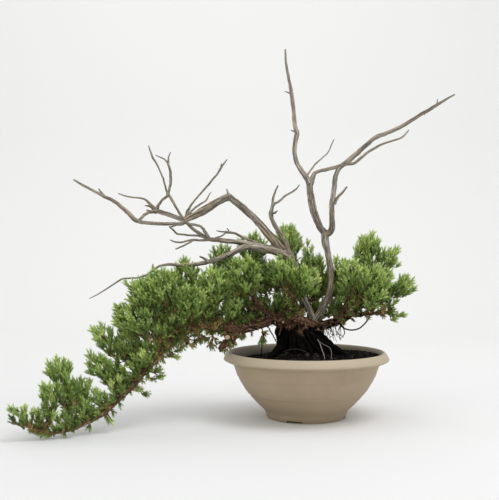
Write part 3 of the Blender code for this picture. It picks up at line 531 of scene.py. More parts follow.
# %% Routes of the dead tree's stems
DEAD_STEMS = {
    "foot": [(316.5, 372, 6, 15), (316.5, 345, 5, 14.5), (316, 330, 4, 13.5), (314.5, 321, 3, 11)],
    "right stem": [
        (314.5, 321, 3, 10), (318.5, 316, 1, 8), (323, 307, -2, 7), (328, 296, -4, 6),
        (330.7, 285, -6, 5), (330.4, 271, -7, 5), (329.5, 261, -7, 5.2), (327.3, 250, -6, 5.8),
        (325.4, 240, -6, 7), (324.8, 232, -6, 7.5)],
    "left fork": [
        (325, 233, -6, 6.5), (319.6, 226, -4, 6.8), (313.8, 211, -2, 6.8), (310.8, 196, 1, 6.8),
        (309.6, 183, 3, 6.4)],
    "leader": [
        (309.8, 184, 3, 6), (304.9, 175, 6, 5.2), (297.3, 163.5, 11, 4.2), (294.4, 152, 15, 3.9),
        (295.3, 141, 19, 4.2), (296.6, 134, 21, 4.6), (294.6, 124, 23, 4), (293.4, 110, 27, 3.9),
        (291.7, 95, 31, 3.8), (288.9, 79, 35, 3), (286.1, 64, 38, 2.5), (285.4, 49.2, 40, 1.9)],
    "low arm": [
        (310.4, 185, 3, 5), (313, 177, 6, 4.4), (316, 172.5, 10, 3.7), (322, 170.5, 13, 3.5),
        (333.5, 167.7, 18, 3.3), (345, 164.5, 23, 3), (354.5, 163, 27, 2.8), (362, 157, 30, 2.6),
        (371.6, 150, 33, 2.4), (383, 144, 36, 2.2), (393, 140.5, 38, 2), (402, 137.2, 40, 1.8),
        (408.8, 130, 42, 1.2)],
    "right arm": [
        (325.4, 235, -6, 6.5), (330.6, 231.8, -10, 6.2), (332.2, 226, -14, 5.6), (331.6, 216.9, -16, 5.2),
        (332.2, 201.6, -19, 5.1), (334, 188.3, -22, 5), (335.4, 176.8, -25, 4.8),
        (339.2, 168.3, -28, 4.7), (348.7, 160.6, -32, 4.6), (358.3, 152.2, -36, 4.4),
        (368.3, 143.3, -40, 4.2), (377.6, 136.6, -43, 4), (392.8, 130.9, -48, 3.7),
        (406.1, 124.2, -52, 3.5), (417.6, 116.4, -55, 3.3), (429, 109.7, -58, 3.2),
        (442.3, 101.4, -61, 2.4), (454.9, 94.2, -64, 1.3)],
    "middle stem": [
        (313.5, 321, 3, 7.5), (309.8, 310, 2, 5.5), (303.7, 297, 0, 5), (298, 284, -2, 4.8),
        (294.5, 271.5, -3, 5), (292, 259, -2, 6), (288.5, 252, 0, 7.5)],
    "middle twig": [
        (288.5, 252, 0, 5.5), (286.5, 243, -1, 4.8), (282.2, 236, -3, 4.6), (277.8, 230, -4, 4.3),
        (274.6, 225, -6, 4.2), (272.4, 220, -7, 4.1), (271, 214, -8, 4.6), (271.8, 209, -9, 3.8),
        (272.9, 204.5, -10, 3.2)],
    "great branch": [
        (289, 258, 0, 8.2), (284, 252.5, 0, 8.4), (277, 244.5, -2, 8.2), (270, 236, -3, 7.9),
        (260, 224.2, -5, 7.7), (250, 213.8, -7, 7.6), (240, 204.8, -9, 7.5), (233, 199.5, -10, 7.4),
        (228.8, 196.5, -11, 7.4)],
    "elbow arm": [
        (229.5, 196.5, -11, 7), (219, 201, -15, 7), (209, 207.3, -19, 7.6), (202.5, 211.4, -22, 8),
        (194, 215.8, -26, 6.8), (184.2, 220.6, -30, 6)],
    "far arm": [
        (186, 220.8, -29, 5), (180.2, 223.6, -32, 4.2), (170, 223.9, -36, 3.4), (159.4, 223.6, -40, 3.2),
        (150, 223.4, -44, 3.4), (143.5, 222.6, -46, 3.7), (135.5, 220.2, -49, 4.1),
        (127.6, 212.5, -53, 4), (118, 204.3, -57, 3.4), (111, 199.5, -60, 3.2), (105.2, 197, -63, 3.1),
        (94.1, 191.2, -68, 2.5), (82.9, 185.2, -73, 2.3), (73.3, 179.4, -77, 1.6)],
    "upper arm": [
        (185, 220.5, -28, 4.8), (178, 218, -26, 4.5), (170.6, 215.3, -24, 4.4), (161, 212.3, -21, 4.6),
        (154.7, 209, -19, 4.4), (149.9, 204, -17, 2.7), (145.5, 199.8, -16, 1.9),
        (140.3, 198.1, -15, 1.7), (127.6, 196.5, -13, 1.5), (118, 193.3, -11, 1)],
    "lower branch": [
        (290, 255, 0, 7.5), (280, 251, -2, 6.6), (267.3, 247.4, -6, 5.6), (253.9, 244.6, -10, 4.8),
        (240.5, 242.4, -15, 4.7), (227.1, 241.2, -20, 4.5), (213.7, 239.8, -24, 4.3),
        (206.5, 237.4, -27, 4), (200.4, 233.8, -29, 3.4), (193.7, 229.5, -30, 3.1),
        (187.5, 223.5, -30, 3.2), (184.5, 221, -30, 3.4)],
    "long branch": [
        (291, 257, 0, 8), (281, 253.4, -4, 7.2), (267.3, 250, -10, 6.4), (256, 247.4, -16, 6.2),
        (248.5, 246.8, -20, 6), (240, 249.2, -24, 5.6), (228.5, 254.6, -30, 5), (216.4, 259.7, -36, 4.6),
        (205.7, 262.2, -41, 4), (193.7, 264.4, -46, 3.4), (180.3, 265.4, -52, 3),
        (170.9, 264.4, -57, 2.7), (160.2, 266, -62, 2), (153.5, 270, -66, 1.8), (146.8, 274.6, -69, 1.7),
        (137.4, 277.6, -73, 1.6), (128, 278.2, -77, 1.5), (121.2, 279.4, -80, 1.6),
        (110, 286.6, -85, 1.3), (98.9, 293.6, -90, 1.1), (89.3, 298.6, -94, 0.7)],
}
print("dead stems:", len(DEAD_STEMS))

# %% Routes of the dead tree's twigs
DEAD_TWIGS = {
    "leader twig": [
        (306.5, 176, 5, 2), (314.4, 165.4, 10, 1.6), (322, 158, 14, 1.4), (328.1, 152, 17, 1.3),
        (331.6, 144.4, 19, 1.2), (334.1, 139.3, 21, 0.9)],
    "right stub": [
        (334.5, 204, -19, 3.6), (337.5, 198, -22, 2.8), (341.1, 193.5, -25, 2.5), (347.2, 186.5, -30, 1.4)],
    "middle twig left": [
        (272.5, 206, -10, 2.6), (273.4, 197.8, -13, 2.2), (275.2, 192, -15, 1.9), (278.2, 185.4, -18, 1.3)],
    "middle twig right": [
        (272.8, 206, -10, 2.6), (275, 203, -9, 2.4), (280, 200.2, -7, 2.2), (284.5, 196.2, -4, 2.1),
        (290, 193.2, -1, 1.8), (294.8, 190.2, 1, 1.7), (297.3, 187.8, 3, 1.4), (299.5, 184.6, 5, 1.0)],
    "middle spur": [(272, 213.5, -9, 2.6), (275.2, 212.4, -12, 2), (277.5, 210.8, -15, 1.3)],
    "elbow spur": [(229.5, 196.5, -11, 4.5), (227.8, 192, -12, 2.2), (226.5, 188.8, -12, 1)],
    "far spur": [(104.5, 196.7, -63, 2.7), (101, 192.2, -64, 1.8), (98.6, 188.6, -65, 1.1)],
    "leader spur": [(290.6, 93.6, 31, 1.6), (287.4, 92.2, 31, 1.2), (284.5, 91.3, 31, 0.7)],
    "leader knob": [(295.4, 131.5, 21, 2.0), (293.2, 131, 21, 1.4), (290.8, 130, 21, 0.8)],
    "arm spur": [(437, 104, -60, 1.6), (437.4, 101, -60, 1.1), (437.2, 98.8, -60, 0.6)],
    "arm knob": [(426, 111.5, -57, 1.8), (424.8, 113.6, -57, 1.2), (424.2, 115.2, -57, 0.7)],
    "upper loop": [
        (157, 211.8, -20, 3.8), (150, 212, -28, 3.2), (145, 214.5, -38, 2.9), (140, 219.5, -47, 3)],
    "upper stub": [(153.5, 208, -19, 2.8), (149.5, 206.5, -17, 2), (145, 205.6, -15, 1.1)],
    "loop stub": [(152, 211.5, -25, 2.2), (148.6, 210.4, -24, 1.4), (146.2, 209.8, -23, 0.9)],
    "twin base": [
        (183, 219, -30, 3.4), (180.2, 214.1, -32, 2.7), (175.4, 206.1, -35, 2.4), (169, 196.3, -38, 2.7),
        (166.6, 193.3, -39, 2.4)],
    "twin root": [
        (156.5, 210, -19, 3.4), (158.5, 205.2, -23, 2.8), (163, 200, -31, 2.4), (168.5, 195, -38, 2.4)],
    "twin left": [
        (167.6, 195, -38, 2), (164.8, 185, -36, 1.7), (162.6, 177.4, -35, 1.6), (157.8, 166.2, -33, 1.6),
        (152.5, 157, -31, 1.9), (150.5, 151, -30, 1.4), (148.3, 145.5, -29, 0.9)],
    "twin right": [
        (168, 195.5, -39, 2.5), (170.9, 184, -42, 2.7), (171, 176, -43, 2.6), (170.4, 170, -44, 2.4),
        (168.2, 163, -45, 2.3)],
    "twin right fork": [
        (168.6, 164, -45, 2), (164.2, 159.1, -47, 1.5), (160, 157.2, -48, 1.2), (155.5, 155.1, -49, 0.8)],
    "twin right tip": [(168.3, 164, -45, 1.9), (168.7, 156.7, -47, 1.4), (170.6, 151.9, -49, 0.8)],
    "rising twig": [
        (186, 218.5, -29, 3.4), (187.3, 212.5, -31, 2.6), (191.3, 204.5, -34, 2),
        (200.9, 193.3, -39, 1.9), (210.7, 182, -44, 1.9), (217.4, 174, -47, 1.8),
        (222.2, 166.2, -50, 1.9), (227.2, 159.4, -53, 1)],
    "rising spur": [(220.4, 168.5, -49, 1.4), (221.6, 163.5, -51, 0.9)],
    "broken twig": [
        (188.5, 214.5, -29, 2.6), (193, 209.5, -26, 2), (200.5, 204, -21, 1.8), (206, 200.6, -18, 1.7),
        (208.9, 194.9, -16, 1.2), (211.3, 192.3, -15, 0.8)],
    "arch": [
        (209, 238.6, -26, 3.2), (206.2, 234, -34, 3), (203.3, 229.5, -38, 2.8), (199.5, 226, -38, 2.6),
        (195, 225, -36, 2.5), (187, 223.5, -31, 2.6)],
    "lower fork": [
        (207, 238, -26, 2.6), (199.3, 236.2, -24, 2.2), (186.5, 235.2, -22, 1.9), (177.5, 234, -20, 1.8),
        (173.5, 229.8, -19, 1.7), (169, 226.2, -18, 1.1)],
    "lower fork twig": [(184, 222.5, -31, 2.2), (177, 224.8, -28, 1.7), (171, 226.8, -20, 1.4)],
    "low twig": [
        (210, 239.6, -25, 3), (200, 240.6, -32, 2.4), (192.9, 240, -37, 2.2), (188.1, 240.6, -40, 1.8),
        (180.2, 242.4, -44, 1.6), (174.5, 241.6, -46, 1.5), (169.8, 239.8, -48, 1)],
    "low twig fork": [
        (193.5, 240.2, -37, 2), (189, 243, -40, 1.8), (181.8, 246.6, -44, 1.8), (175.4, 249.2, -48, 1.3)],
    "fine twig": [
        (262, 246.3, -8, 3.6), (252, 241.5, -2, 2.8), (240.5, 236.8, 4, 2.4), (235.2, 233.6, 7, 2.2),
        (227.8, 232, 10, 1.9), (222, 231.8, 12, 1.4), (216.4, 230.6, 14, 0.9)],
    "fine spur": [(229.5, 232.4, 9, 1.5), (228, 229.4, 9, 1.1), (226.8, 227.8, 9, 0.7)],
    "fine fork": [(233, 233, 8, 1.9), (226.5, 232.8, 4, 1.6), (221.5, 236, 0, 1.4), (215, 237.6, -4, 1)],
    "long spur": [(209, 261.5, -40, 3.2), (204.5, 258.5, -42, 2.3), (199.6, 256.4, -44, 1.5)],
    "long knob": [(152.8, 270.5, -66, 1.8), (152.6, 266, -68, 1.4), (153, 264, -69, 0.9)],
}
print("dead twigs:", len(DEAD_TWIGS))

# %% Grow the dead tree
STEM_STEP = 0.0020
TWIG_STEP = 0.0024


def in_metres(readings):
    """Picture readings as routes of (x, y, z, radius) in metres."""
    return [[(*spot(u, v, depth), 0.001 * radius) for u, v, depth, radius in route] for route in readings]


def grow_wood(name, routes, step, wander, seed, values):
    """One piece of fluted wood along routes in metres."""
    mesh = line_mesh(name, wood_lines(routes, step, wander, seed), ["girth", "along"])
    return grown(name, mesh, WOOD_TREE, values)


dead_stems = grow_wood("dead_stems", in_metres(DEAD_STEMS.values()), STEM_STEP, 0.06, 11, {
    "Sides": 20, "Flute Depth": 0.8, "Crack Depth": 0.26, "Stretch": 11.0, "Surface": BLEACHED})
dead_twigs = grow_wood("dead_twigs", in_metres(DEAD_TWIGS.values()), TWIG_STEP, 0.16, 51, {
    "Sides": 8, "Flute Depth": 0.7, "Crack Depth": 0.1, "Stretch": 26.0, "Surface": BLEACHED})
hand_over(dead_stems, "bleached_wood", "deadwood")
hand_over(dead_twigs, "bleached_wood", "deadwood")

# %% [markdown]
# ## The bowl
#
# A bonsai training bowl is one plastic moulding: a plain bowl with a broad lip that slopes outwards,
# a short foot and four drain slots cut through the corner of the foot. A turned shape needs only
# its profile, spun round the upright axis. Faint rings run round it where the mould's parts met.

# %% The bowl's profile
FOOT_RADIUS = 0.0704
FLOOR_THICKNESS = 0.0025
MOULD_RINGS = (0.0763, 0.0504, 0.0455)
RING_STEP = 0.0008
RING_HEIGHT = 0.0006
BOWL_STEPS = 144

# Each point is (radius, height)
OUTER_POINTS = [
    (0.0744, 0.0110), (0.0752, 0.0135), (0.0780, 0.0165), (0.0840, 0.0220), (0.0910, 0.0290),
    (0.1000, 0.0390), (0.1080, 0.0490), (0.1150, 0.0590), (0.1210, 0.0690), (0.1265, 0.0815),
    (0.1310, 0.0940), (0.1328, 0.0975)]
LIP_POINTS = [
    (0.1370, 0.0992), (0.1420, 0.1010), (0.1464, 0.1030), (0.1484, 0.1041), (0.1491, 0.1051),
    (0.1491, 0.1062), (0.1481, 0.1084), (0.1464, 0.1116), (0.1446, 0.1144), (0.1432, 0.1164),
    (0.1414, 0.1179), (0.1396, 0.1184), (0.1380, 0.1175), (0.1366, 0.1152), (0.1354, 0.1125)]
INNER_POINTS = [
    (0.1345, 0.1100), (0.1300, 0.1005), (0.1272, 0.0935), (0.1172, 0.0690), (0.1020, 0.0470),
    (0.0868, 0.0290), (0.0715, 0.0145), (0.0660, FLOOR_THICKNESS)]


def bowl_profile():
    """Half the bowl's section, from the middle of the foot round to the floor inside."""
    foot = [(0.0, 0.0004), (FOOT_RADIUS - 0.006, 0.0004), (FOOT_RADIUS - 0.004, 0.0),
            (FOOT_RADIUS - 0.0008, 0.0), (FOOT_RADIUS, 0.0008)]
    wall = []
    for (near, low), (far, high) in zip([foot[-1], *OUTER_POINTS], OUTER_POINTS):
        for height in sorted(ring for ring in MOULD_RINGS if low < ring <= high):
            radius = near + (far - near) * (height - low) / (high - low)
            wall.extend([(radius - RING_STEP, height - RING_HEIGHT), (radius + RING_STEP, height)])
        wall.append((far, high))
    return foot + wall + LIP_POINTS + INNER_POINTS + [(0.0, FLOOR_THICKNESS)]


print("profile points:", len(bowl_profile()))

# %% Spin it and cut the drain slots
SLOT_SIZE = (0.016, 0.027, 0.008)
SLOT_COUNT = 4
FIRST_SLOT_ANGLE = math.radians(-110.6)
SHARP_ANGLE = math.radians(38)


def spun(name, profile, steps):
    bm = bmesh.new()
    verts = [bm.verts.new((radius, 0.0, height)) for radius, height in profile]
    edges = [bm.edges.new(pair) for pair in zip(verts, verts[1:])]
    bmesh.ops.spin(bm, geom=verts + edges, cent=(0, 0, 0), axis=(0, 0, 1), steps=steps, angle=math.tau,
                   use_merge=True)
    bmesh.ops.remove_doubles(bm, verts=bm.verts, dist=1e-6)
    return solid_object(name, bm)


def slot_cutter():
    bm = bmesh.new()
    for index in range(SLOT_COUNT):
        angle = FIRST_SLOT_ANGLE + index * math.tau / SLOT_COUNT
        box = bmesh.ops.create_cube(bm, size=1.0)["verts"]
        bmesh.ops.scale(bm, verts=box, vec=SLOT_SIZE)
        bmesh.ops.rotate(bm, verts=box, cent=(0, 0, 0), matrix=Matrix.Rotation(angle, 3, "Z"))
        bmesh.ops.translate(bm, verts=box,
                            vec=(FOOT_RADIUS * math.cos(angle), FOOT_RADIUS * math.sin(angle), 0.0))
    return solid_object("slot_cutter", bm)


bowl = spun("bowl", bowl_profile(), BOWL_STEPS)
cutter = slot_cutter()
cut = bowl.modifiers.new("slots", "BOOLEAN")
cut.object = cutter
cut.operation = "DIFFERENCE"
bowl.data = bpy.data.meshes.new_from_object(bowl.evaluated_get(bpy.context.evaluated_depsgraph_get()))
bowl.modifiers.clear()
bpy.data.objects.remove(cutter)
bowl.data.shade_smooth()
bowl.data.set_sharp_from_angle(angle=SHARP_ANGLE)
print("bowl faces:", len(bowl.data.polygons))

# %% [markdown]
# The plastic is taupe with a satin skin. A bowl that stands outdoors gets a film of dust and dried
# water marks. The plastic is made darker towards the bottom, the top of its lip is painted paler as a
# highlight, and the inner wall and the drain slots are painted dark as shade.

# %% Shader group: outdoor dust
def dust_group():
    """Soft patches and fine specks, for any surface that stands outdoors."""
    tree, ask, result = new_group("outdoor_dust", "ShaderNodeTree",
                                  {"Place": "Vector", "Patch Scale": 18.0, "Speck Scale": 420.0},
                                  {"Patches": "Float", "Specks": "Float"})
    tree.links.new(soft_noise(ask["Place"], ask["Patch Scale"], 5.0, 0.6), result["Patches"])
    tree.links.new(soft_noise(ask["Place"], ask["Speck Scale"], 1.0), result["Specks"])
    return tree


DUST_GROUP = dust_group()


def dust_of(tree, patch_scale, speck_scale):
    """The patches and the specks."""
    return add(tree, "ShaderNodeGroup", {"Place": place_in(tree), "Patch Scale": patch_scale,
                                         "Speck Scale": speck_scale}, node_tree=DUST_GROUP).outputs


print(DUST_GROUP.name, "has", len(DUST_GROUP.nodes), "nodes")

# %% Taupe plastic
def taupe_plastic(name, painted_shade):
    """The last value is how strong the painted shade is: full below 0.101 m, fading out by 0.124 m."""
    made, tree, shader = new_material(name, Specular_IOR_Level=0.4)
    patches, specks = dust_of(tree, 16.0, 700.0)
    plain = ramp(patches, [(0.3, (0.352, 0.270, 0.172)), (0.7, (0.412, 0.322, 0.212))])
    # Darker towards the bottom
    low = minus(1.0, height_share(tree, 0.0, 0.07))
    darkened = blend_colours(times(low, 0.35), plain, (0.235, 0.190, 0.130))
    # Painted highlight: the top of the lip is made paler, as the light from above falls on it
    lip = height_share(tree, 0.101, 0.108)
    lit_and_shaded = blend_colours(times(lip, 0.40), darkened, (0.545, 0.475, 0.375))
    # Painted shade, darkening the inner wall and the drain slots
    if painted_shade:
        wall_shade = times(minus(1.0, height_share(tree, 0.101, 0.124)), painted_shade)
        lit_and_shaded = blend_colours(wall_shade, lit_and_shaded, (0.030, 0.026, 0.020))
    speck = times(minus(specks, 0.62), 3.0, True)
    feed(shader, Base_Color=blend_colours(speck, lit_and_shaded, (0.42, 0.37, 0.30)),
         Roughness=plus(0.44, times(patches, 0.22)), Normal=relief(patches, 0.12, 0.0004))
    return made


bowl.data.materials.clear()
bowl.data.materials.append(taupe_plastic("taupe_plastic", 0.0))
bowl.data.materials.append(taupe_plastic("shaded_plastic", 0.95))
# The inner wall and the drain slots take the finish with painted shade
for face in bowl.data.polygons:
    reach = face.center.xy.length
    inside = face.center.z > 0.004 and face.normal.xy.dot(face.center.xy) < -0.3 * reach
    in_slot = face.center.z < 0.004 and face.normal.z > -0.5 and reach < FOOT_RADIUS - 0.001
    face.material_index = 1 if inside or in_slot else 0
print("shaded faces:", sum(face.material_index for face in bowl.data.polygons))
hand_over(bowl, "pot_plastic", "pot")

# %% [markdown]
# ## Soil
#
# The bowl is filled with a dark mix of bark and peat, drawn up in a mound round the roots. The body
# of soil is a stack of rings, the top ones lifted by the mound and roughened by noise. On top lie
# thousands of bark bits and crumbs, which Geometry Nodes scatter.

# %% Body of soil
SOIL_EDGE_HEIGHT = 0.1045
MOUND_RISE = 0.029
MOUND_SPREAD = 0.062
MOUND_CENTRE = Vector((-0.008, 0.0))
SOIL_TILT = 0.050
SOIL_ROUGHNESS = 0.0022
SOIL_STEPS = 96
SOIL_RINGS = 48
SOIL_GAP = 0.0007
BURIED_HEIGHTS = (0.0032, 0.0145, 0.029, 0.047, 0.069, 0.0935)


def soil_height(x, y):
    mound = (Vector((x, y)) - MOUND_CENTRE).length / MOUND_SPREAD
    clods = noise.noise(Vector((x, y, 0.0)) * 55.0) + 0.5 * noise.noise(Vector((x, y, 4.0)) * 170.0)
    return SOIL_EDGE_HEIGHT + MOUND_RISE * math.exp(-mound * mound) + SOIL_TILT * x + SOIL_ROUGHNESS * clods


def inside_radius(height):
    for (wide, high), (narrow, low) in zip(INNER_POINTS, INNER_POINTS[1:]):
        if low <= height <= high:
            return narrow + (wide - narrow) * (height - low) / (high - low) - SOIL_GAP
    return INNER_POINTS[0][0] - SOIL_GAP


def top_point(share, angle):
    """A point of the soil's top, this share of the way out to the bowl."""
    edge = inside_radius(SOIL_EDGE_HEIGHT + SOIL_TILT * 0.13 * math.cos(angle) - 0.002)
    x, y = edge * share * math.cos(angle), edge * share * math.sin(angle)
    return x, y, soil_height(x, y)


def soil_body():
    angles = [math.tau * step / SOIL_STEPS for step in range(SOIL_STEPS)]
    layers = [[(inside_radius(height) * math.cos(angle), inside_radius(height) * math.sin(angle), height)
               for angle in angles] for height in BURIED_HEIGHTS]
    layers += [[top_point(1 - ring / SOIL_RINGS, angle) for angle in angles]
               for ring in range(SOIL_RINGS - 1)]
    bm = bmesh.new()
    layers = [[bm.verts.new(place) for place in layer] for layer in layers]
    for low, high in zip(layers, layers[1:]):
        for step in range(SOIL_STEPS):
            after = (step + 1) % SOIL_STEPS
            bm.faces.new((low[step], low[after], high[after], high[step]))
    bm.faces.new(list(reversed(layers[0])))
    bm.faces.new(layers[-1])
    return solid_object("soil_body", bm)


def dark_soil():
    made, tree, shader = new_material("dark_soil", Roughness=0.97, Specular_IOR_Level=0.03)
    patches, specks = dust_of(tree, 60.0, 520.0)
    base = ramp(patches, [(0.35, (0.003, 0.0026, 0.0022)), (0.7, (0.012, 0.009, 0.007))])
    speck = times(minus(specks, 0.66), 4.0, True)
    feed(shader, Base_Color=blend_colours(speck, base, (0.05, 0.038, 0.028)),
         Normal=relief(specks, 0.9, 0.0015))
    return made


soil = soil_body()
soil.data.shade_smooth()
soil.data.materials.append(dark_soil())
hand_over(soil, "soil_mix", "soil")

# %% [markdown]
# A bit of bark is a flat splinter, a crumb is a small lump, and a few grains are pale grit. All
# three are the same small ball, squashed by its own random amounts, so one tree scatters them all:
# it takes the size, the flatness and the number as inputs.

# %% Geometry Nodes: bits scattered on a surface
def random_between(seed, low, high, **sockets):
    return add(seed.id_data, "FunctionNodeRandomValue", {2: low, 3: high, "Seed": seed, **sockets},
               data_type="FLOAT").outputs[1]


def turned_by(tree, rotation, turn):
    """A rotation turned once more about its own axes."""
    return add(tree, "FunctionNodeRotateRotation", {0: rotation, 1: turn}, rotation_space="LOCAL").outputs[0]


def scattered_bits():
    tree, ask, result = new_group(
        "scattered_bits", "GeometryNodeTree",
        {"Geometry": "Geometry", "Spacing": 0.003, "Number": 40000.0, "Size": 0.002, "Length": 1.6,
         "Flatness": 0.4, "Steepest": 0.6, "Seed": 1, "Surface": "Material"}, {"Geometry": "Geometry"})
    upward = parts_of(add(tree, "GeometryNodeInputNormal").outputs[0])[2]
    top = add(tree, "FunctionNodeCompare", {0: upward, 1: ask["Steepest"]},
              operation="GREATER_THAN").outputs[0]
    spread = add(tree, "GeometryNodeDistributePointsOnFaces",
                 {"Mesh": ask["Geometry"], "Selection": top, "Distance Min": ask["Spacing"],
                  "Density Max": ask["Number"], "Seed": ask["Seed"]}, distribute_method="POISSON").outputs
    bit = add(tree, "GeometryNodeMeshIcoSphere", {"Radius": 1.0, "Subdivisions": 1}).outputs[0]
    size = times(random_between(ask["Seed"], 0.45, 1.25), ask["Size"])
    shape = add(tree, "ShaderNodeCombineXYZ", {0: times(size, ask["Length"]), 1: size,
                                               2: times(size, ask["Flatness"])}).outputs[0]
    turn = add(tree, "FunctionNodeRandomValue",
               {0: (-0.5, -0.5, 0.0), 1: (0.5, 0.5, 6.28), "Seed": ask["Seed"]},
               data_type="FLOAT_VECTOR").outputs[0]
    turn = add(tree, "FunctionNodeEulerToRotation", {0: turn}).outputs[0]
    points = store(tree, spread["Points"], "hue", random_between(ask["Seed"], 0.0, 1.0))
    bits = add(tree, "GeometryNodeInstanceOnPoints",
               {"Points": points, "Instance": bit, "Rotation": turned_by(tree, spread["Rotation"], turn),
                "Scale": shape}).outputs[0]
    tree.links.new(made_real(tree, bits, ask["Surface"]), result[0])
    return tree


SCATTER_TREE = scattered_bits()
print(SCATTER_TREE.name, "has", len(SCATTER_TREE.nodes), "nodes")

# %% Bark bits, crumbs and grit
def bit_surface(name, dark, middle, light):
    made, tree, shader = new_material(name, Roughness=0.9, Specular_IOR_Level=0.08)
    colour = ramp(attribute(tree, "hue"), [(0.0, dark), (0.6, middle), (1.0, light)])
    patches, specks = dust_of(tree, 300.0, 1500.0)
    feed(shader, Base_Color=blend_colours(times(patches, 0.5), colour, dark),
         Normal=relief(specks, 0.4, 0.0005))
    return made


BITS = {
    "bark_bits": {
        "Spacing": 0.0037, "Number": 60000.0, "Size": 0.0022, "Length": 1.9, "Flatness": 0.35, "Seed": 3,
        "Surface": bit_surface("wet_bark", (0.002, 0.0018, 0.0016), (0.005, 0.0042, 0.0034),
                               (0.056, 0.047, 0.040))},
    "soil_crumbs": {
        "Spacing": 0.0036, "Number": 90000.0, "Size": 0.0015, "Length": 1.1, "Flatness": 0.9, "Seed": 8,
        "Surface": bit_surface("peat", (0.002, 0.0018, 0.0016), (0.005, 0.0045, 0.0036),
                               (0.018, 0.015, 0.012))},
    "pale_grit": {
        "Spacing": 0.012, "Number": 900.0, "Size": 0.0010, "Length": 1.2, "Flatness": 0.8, "Seed": 5,
        "Surface": bit_surface("grit", (0.10, 0.09, 0.08), (0.26, 0.24, 0.21), (0.50, 0.48, 0.45))},
}
for name, values in BITS.items():
    hand_over(grown(name, soil.data.copy(), SCATTER_TREE, values), "soil_mix")

# %% [markdown]
# ## The living wood
#
# The juniper's own trunk is short and hidden in its roots. One heavy branch runs over the rim and
# pours down to the table, and a second one goes right. The bark is reddish brown and comes off in
# strips. Near the pot it is painted darker as shade, nearly black low down by the soil. These routes
# are the imported model's own.

# %% Juniper bark
def juniper_bark():
    made, tree, shader = new_material("juniper_bark", Specular_IOR_Level=0.06)
    streaks, bands = grain_of(tree, 3.4, 0.9)
    strips = ramp(streaks, [(0.32, (0.035, 0.018, 0.011)), (0.45, (0.145, 0.070, 0.040)),
                            (0.56, (0.33, 0.178, 0.104)), (0.70, (0.50, 0.33, 0.22))])
    darkened = blend_colours(times(bands, 0.6), strips, (0.060, 0.030, 0.020))
    x, _, z = parts_of(place_in(tree))
    young = blend_colours(share_between(x, -0.24, -0.38, 0.7), darkened, (0.27, 0.185, 0.085))
    # Painted shade: the cracks are darkened to nearly black
    crack_shaded = blend_colours(times(attribute(tree, "crack"), 0.8), young, (0.010, 0.006, 0.005))
    # Painted shade: near the pot the bark is darkened, nearly black low down by the soil and partly higher up
    height = minus(z, times(calc("MAXIMUM", x, 0.0), 0.28))
    ragged = plus(height, times(minus(dust_of(tree, 75.0, 900.0)[0], 0.5), 0.11))
    low_shade = calc("MAXIMUM", share_between(ragged, 0.176, 0.160), 0.35)
    near_pot = share_between(calc("ABSOLUTE", x), 0.112, 0.092)
    bark_shade = times(times(low_shade, near_pot), 0.99)
    feed(shader, Base_Color=blend_colours(bark_shade, crack_shaded, PAINTED_SHADE_BLACK), Roughness=plus(0.75, times(streaks, 0.2)),
         Normal=relief(streaks, 0.9, 0.0012))
    return made


BARK = juniper_bark()
print(BARK.name, "has", len(BARK.node_tree.nodes), "nodes")

